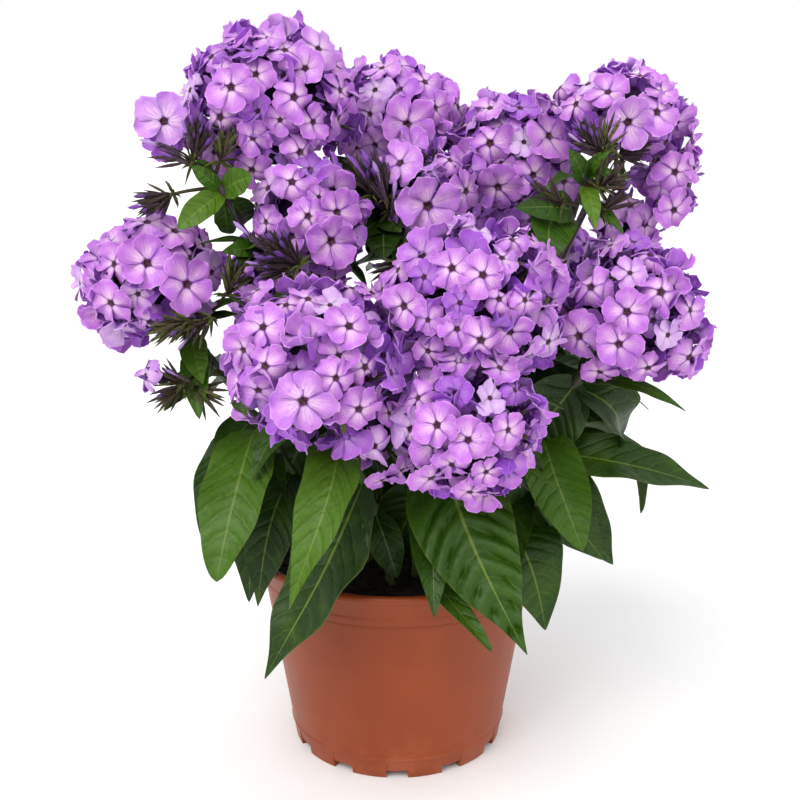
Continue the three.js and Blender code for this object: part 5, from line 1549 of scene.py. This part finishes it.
def fill_placements(name, taken, rng, sinks, room, own_room, sizes):
    """Places for more florets, thrown over each lobe down to its skirt while there is room."""
    axes = axes_facing(vector(HEADS[name]["faces"]))
    lowest = math.cos(math.radians(SKIRT_ANGLE))
    neighbours = [lobe for other, lobes in LOBES.items() for lobe in lobes if other != name]
    placed = []
    for lobe in LOBES[name]:
        centre, radii = lobe
        mean = radii.mean()
        others = [other for other in LOBES[name] if other is not lobe] + neighbours
        order = rng.permutation(FILL_TRIES)
        start = rng.random() * 6
        for i in order:
            height = 1 - (i + 0.5) / FILL_TRIES * (1 - lowest)
            spread = math.sqrt(1 - height * height)
            direction = (spread * heading(start + i * GOLDEN_ANGLE) + UP * height) @ axes
            radius = FLORET_RADIUS * rng.uniform(*sizes)
            sag = mean - math.sqrt(max(mean ** 2 - radius ** 2, 4))
            sunk = sag + rng.uniform(*sinks)
            normal = unit(direction / radii)
            tilt = unit(normal + rng.normal(0, FILL_TILT, 3))
            tint = float(np.clip(rng.normal(0.5, 0.2), 0.05, 1))
            place = centre + direction * radii - normal * sunk
            if any(depth_in(other, place) < LOBE_LIMIT for other in others):
                continue
            hidden = direction @ unit(place - CAMERA_PLACE) > TURNED_AWAY
            if in_clearing(place, radius, CLEAR_SKY if hidden else CLEARINGS + CLEAR_SKY):
                continue
            if has_room(place, radius, taken, room) and has_room(place, radius, placed, own_room):
                placed.append((place, tilt, radius, tint))
    return placed


def add_heart(pile, lobe, facing, rng):
    """The crowded middle of a lobe: a dark core of painted shade, and calyces and buds that stand out from
    it.
    """
    centre, radii = lobe
    if radii.mean() < SMALL_LOBE:
        return
    core, faces = lathe([(math.sin(a), -math.cos(a)) for a in np.linspace(0.25, math.pi - 0.25, 9)], 14)
    x, y, z = core[:, :1], core[:, 1:2], core[:, 2:]
    core = core * (1 + 0.14 * np.sin(7 * x + 3) * np.sin(9 * y) * np.cos(8 * z))
    core = core * radii * SHADE_CORE_SHARE + centre
    # The dark core is painted shade: a body put where only shade shows through the gaps between florets.
    pile.add(core, faces, CALYX, tone_of(core, tint=1, shade=0.1))
    for _ in range(round(INNER_BUDS * (radii.mean() / MEAN_LOBE) ** 2)):
        direction = unit(rng.normal(size=3) + facing * 0.55)
        place = centre + direction * radii * rng.uniform(*BUD_SEATS)
        bud = pick(LONG_BUDS, rng)
        axes = axes_facing(direction + rng.normal(0, 0.2, 3), rng.random() * 6)
        put(pile, bud, place, axes, rng.uniform(*INNER_BUD_SIZES), rng.random(), rng.uniform(0.1, 0.6))


def add_calyx(pile, name, facing, place, normal, axes, radius, rng):
    """A floret's calyx and its pedicel, which runs to the middle of the nearest lobe."""
    put(pile, OPEN_CALYX, place, axes, radius, rng.random(), 0.2)
    centre, radii = min(LOBES[name], key=lambda lobe: depth_in(lobe, place))
    foot = place - normal * radius * PEDICEL_START
    start = centre - facing * 0.3 * radii.min()
    add_stalk(pile, start, foot, normal, np.linspace(*PEDICEL_RADII, 4), 4, rng.uniform(0.1, 0.6), 0.4)


def make_head(name, seed):
    rng = np.random.default_rng(seed)
    pile = Pile()
    facing = unit(vector(HEADS[name]["faces"]))
    heroes = hero_placements(name, rng)
    fill = fill_placements(name, heroes, rng, **FILL_LAYER)
    under = fill_placements(name, heroes + fill, rng, **UNDER_LAYER)
    layers = [(heroes, FINE_FLORETS, HERO_FORMS, 0.0), (fill, PLAIN_FLORETS, FILL_FORMS, 0.0),
              (under, ROUGH_FLORETS, UNDER_FORMS, UNDER_SHADE)]
    for florets, templates, forms, shade in layers:
        for place, normal, radius, tint in florets:
            kind = "flat" if radius > BROAD else rng.choice(list(forms), p=list(forms.values()))
            template = pick(templates[kind], rng)
            axes = axes_facing(normal, rng.random() * FULL_TURN)
            put(pile, template, place, axes, radius, tint, shade)
            if florets is not under and normal @ facing <= COVERED:
                add_calyx(pile, name, facing, place, normal, axes, radius, rng)
    for lobe in LOBES[name]:
        add_heart(pile, lobe, facing, rng)
    (middle, radii), *others = LOBES[name]
    for centre, _ in others:
        start = middle - facing * 0.2 * radii.min()
        pile.add_twig([start, centre], np.linspace(*LOBE_STEM_RADII, 6), 8, 0.3, 0.4)
    pile.build(f"bloom_{name}", f"flower_head_{name}")


# ---- Bud sprays ----------------------------------------------------------------------------------


def add_spray_bud(pile, place, axes, size, purple, rng):
    tint = float(np.clip(rng.normal(purple, 0.2), 0, 0.8))
    if rng.random() < FURLED_SHARE * purple:
        put(pile, pick(SHORT_BUDS, rng), place, axes, size, tint, rng.uniform(0.3, 0.7))
    else:
        put(pile, pick(CLOSED_CALYCES, rng), place, axes, size, tint)


def add_spray(pile, host, height, foot, far, depth, buds, spread, purple, rng):
    """A twig with buds and calyces that fan out from its end, and a few bracts."""
    start = at_height(stem_curves[host], height)
    foot = seen_at(*foot, depth)
    far = seen_at(*far, depth)
    axis = unit(far - foot)
    core = axis * np.linalg.norm(far - foot) * SPRAY_DEPTH
    bend = (start + foot) / 2 + UP * 1.5 - axis
    pile.add_twig([start, bend, foot, foot + core], np.linspace(*TWIG_RADII, 10), 7, 0.35)
    pose = axes_facing(axis)
    for i in range(buds):
        share = (i + 0.5) / buds
        turn = i * GOLDEN_ANGLE + rng.uniform(-0.3, 0.3)
        out = math.tan(min(spread * math.sqrt(share) * 1.2, 1.3))
        direction = unit((out * heading(turn) + UP) @ pose)
        root = foot + core * (1 - share)
        stalk = root + direction * rng.uniform(*BUD_STALKS)
        pile.add_twig([root, stalk], (BUD_STALK_RADIUS, BUD_STALK_RADIUS), 4)
        axes = axes_facing(direction + rng.normal(0, 0.12, 3), rng.random() * 6)
        add_spray_bud(pile, stalk, axes, rng.uniform(*BUD_LENGTHS), purple, rng)
    for i in range(BRACTS):
        turn = i * GOLDEN_ANGLE + rng.uniform(-0.4, 0.4)
        direction = unit(heading(turn, rng.uniform(-0.3, 0.7)) @ pose)
        length = rng.uniform(*BRACT_LENGTHS)
        tip = foot + direction * length - UP * 0.3 * length
        knots = [foot, foot + direction * length * 0.6, tip]
        pile.add_twig(knots, BRACT_RADII, 4, rng.uniform(0, 0.3))
    return foot


def add_lone_stalk(pile, feet, end, facing):
    """A thin stalk to a lone bud or floret from the nearest of the twigs' ends."""
    start = min(feet, key=lambda place: np.linalg.norm(place - end))
    add_stalk(pile, start, end, facing, np.linspace(*LONE_STALK_RADII, 6), 6)


def add_lone_bud(pile, feet, foot, tip, depth, rng):
    foot = seen_at(*foot, depth)
    tip = seen_at(*tip, depth)
    axes = axes_facing(tip - foot, rng.random() * 6)
    size = np.linalg.norm(tip - foot) / 1.35
    put(pile, pick(LONG_BUDS, rng), foot, axes, size, rng.uniform(0.8, 1))
    add_lone_stalk(pile, feet, foot, unit(tip - foot))


def add_lone_floret(pile, feet, pixel, depth, pixels, right, up, tint, rng):
    place = seen_at(*pixel, depth)
    facing = unit(RIGHT * right + ABOVE * up - AHEAD * 0.5)
    axes = axes_facing(facing, rng.random() * 6)
    radius = pixels / pixel_of(place)[2]
    put(pile, pick(FINE_FLORETS["drooping"], rng), place, axes, radius, tint)
    put(pile, OPEN_CALYX, place, axes, radius, 0.4)
    add_lone_stalk(pile, feet, place - facing * radius * PEDICEL_START, facing)


def make_sprays(number, seed):
    rng = np.random.default_rng(seed)
    pile = Pile()
    feet = [add_spray(pile, *values, rng) for owner, *values in SPRAYS if owner == number]
    for add_one, rows in ((add_lone_bud, LONE_BUDS), (add_lone_floret, LONE_FLORETS)):
        for owner, *values in rows:
            if owner == number:
                add_one(pile, feet, *values, rng)
    pile.build(f"buds_{number}", f"bud_spray_{number}")


# ---- Floor, camera and lights --------------------------------------------------------------------


def make_stage():
    mesh = bpy.data.meshes.new("floor")
    corners = [(x * FLOOR_HALF, y * FLOOR_HALF, 0) for x, y in ((-1, -1), (1, -1), (1, 1), (-1, 1))]
    mesh.from_pydata(corners, [], [(0, 1, 2, 3)])
    white = (FLOOR_WHITE, FLOOR_WHITE, FLOOR_WHITE, 1)
    mesh.materials.append(Shader("floor", {"Base Color": white, "Roughness": 0.8}).material)
    add_object("floor", mesh)


def make_camera():
    data = bpy.data.cameras.new("camera")
    data.sensor_width = SENSOR
    data.lens = LENS
    camera = add_object("camera", data)
    camera.location = Vector(CAMERA_PLACE * METRES)
    camera.rotation_euler = (math.pi / 2 - CAMERA_PITCH, 0, 0)
    bpy.context.scene.camera = camera


def add_sun(name, direction, angle, strength, colour):
    """A broad soft light from a direction, the same over the whole floor."""
    data = bpy.data.lights.new(name, "SUN")
    data.angle = math.radians(angle)
    data.energy = strength
    data.color = colour
    turn = (-Vector(direction)).to_track_quat("-Z", "Y")
    add_object(name, data).rotation_euler = turn.to_euler()


def make_lights():
    """The suns, and a white room that the camera sees brighter than the object does."""
    for name, values in SUNS.items():
        add_sun(name, *values)
    world = bpy.data.worlds.new("studio")
    world.use_nodes = True
    nodes, links = world.node_tree.nodes, world.node_tree.links
    background = nodes["Background"]
    background.inputs[0].default_value = (1, 1, 1, 1)
    seen = nodes.new("ShaderNodeLightPath").outputs["Is Camera Ray"]
    level = nodes.new("ShaderNodeMapRange")
    links.new(seen, level.inputs[0])
    level.inputs[3].default_value = ROOM_LIGHT
    level.inputs[4].default_value = BACKGROUND
    links.new(level.outputs[0], background.inputs[1])
    bpy.context.scene.world = world


bpy.context.scene.view_settings.view_transform = "Standard"
make_pot()
make_soil()
stems = [name for name in HEADS if stem_owner[name] == name]
for number, stem_name in enumerate(stems):
    make_leafy_stem(stem_name, SEEDS["stems"] + number)
for number, head_name in enumerate(HEADS):
    make_head(head_name, SEEDS["heads"] + number)
for number in range(1, SPRAY_PIECES + 1):
    make_sprays(number, SEEDS["sprays"] + number)
make_stage()
make_camera()
make_lights()
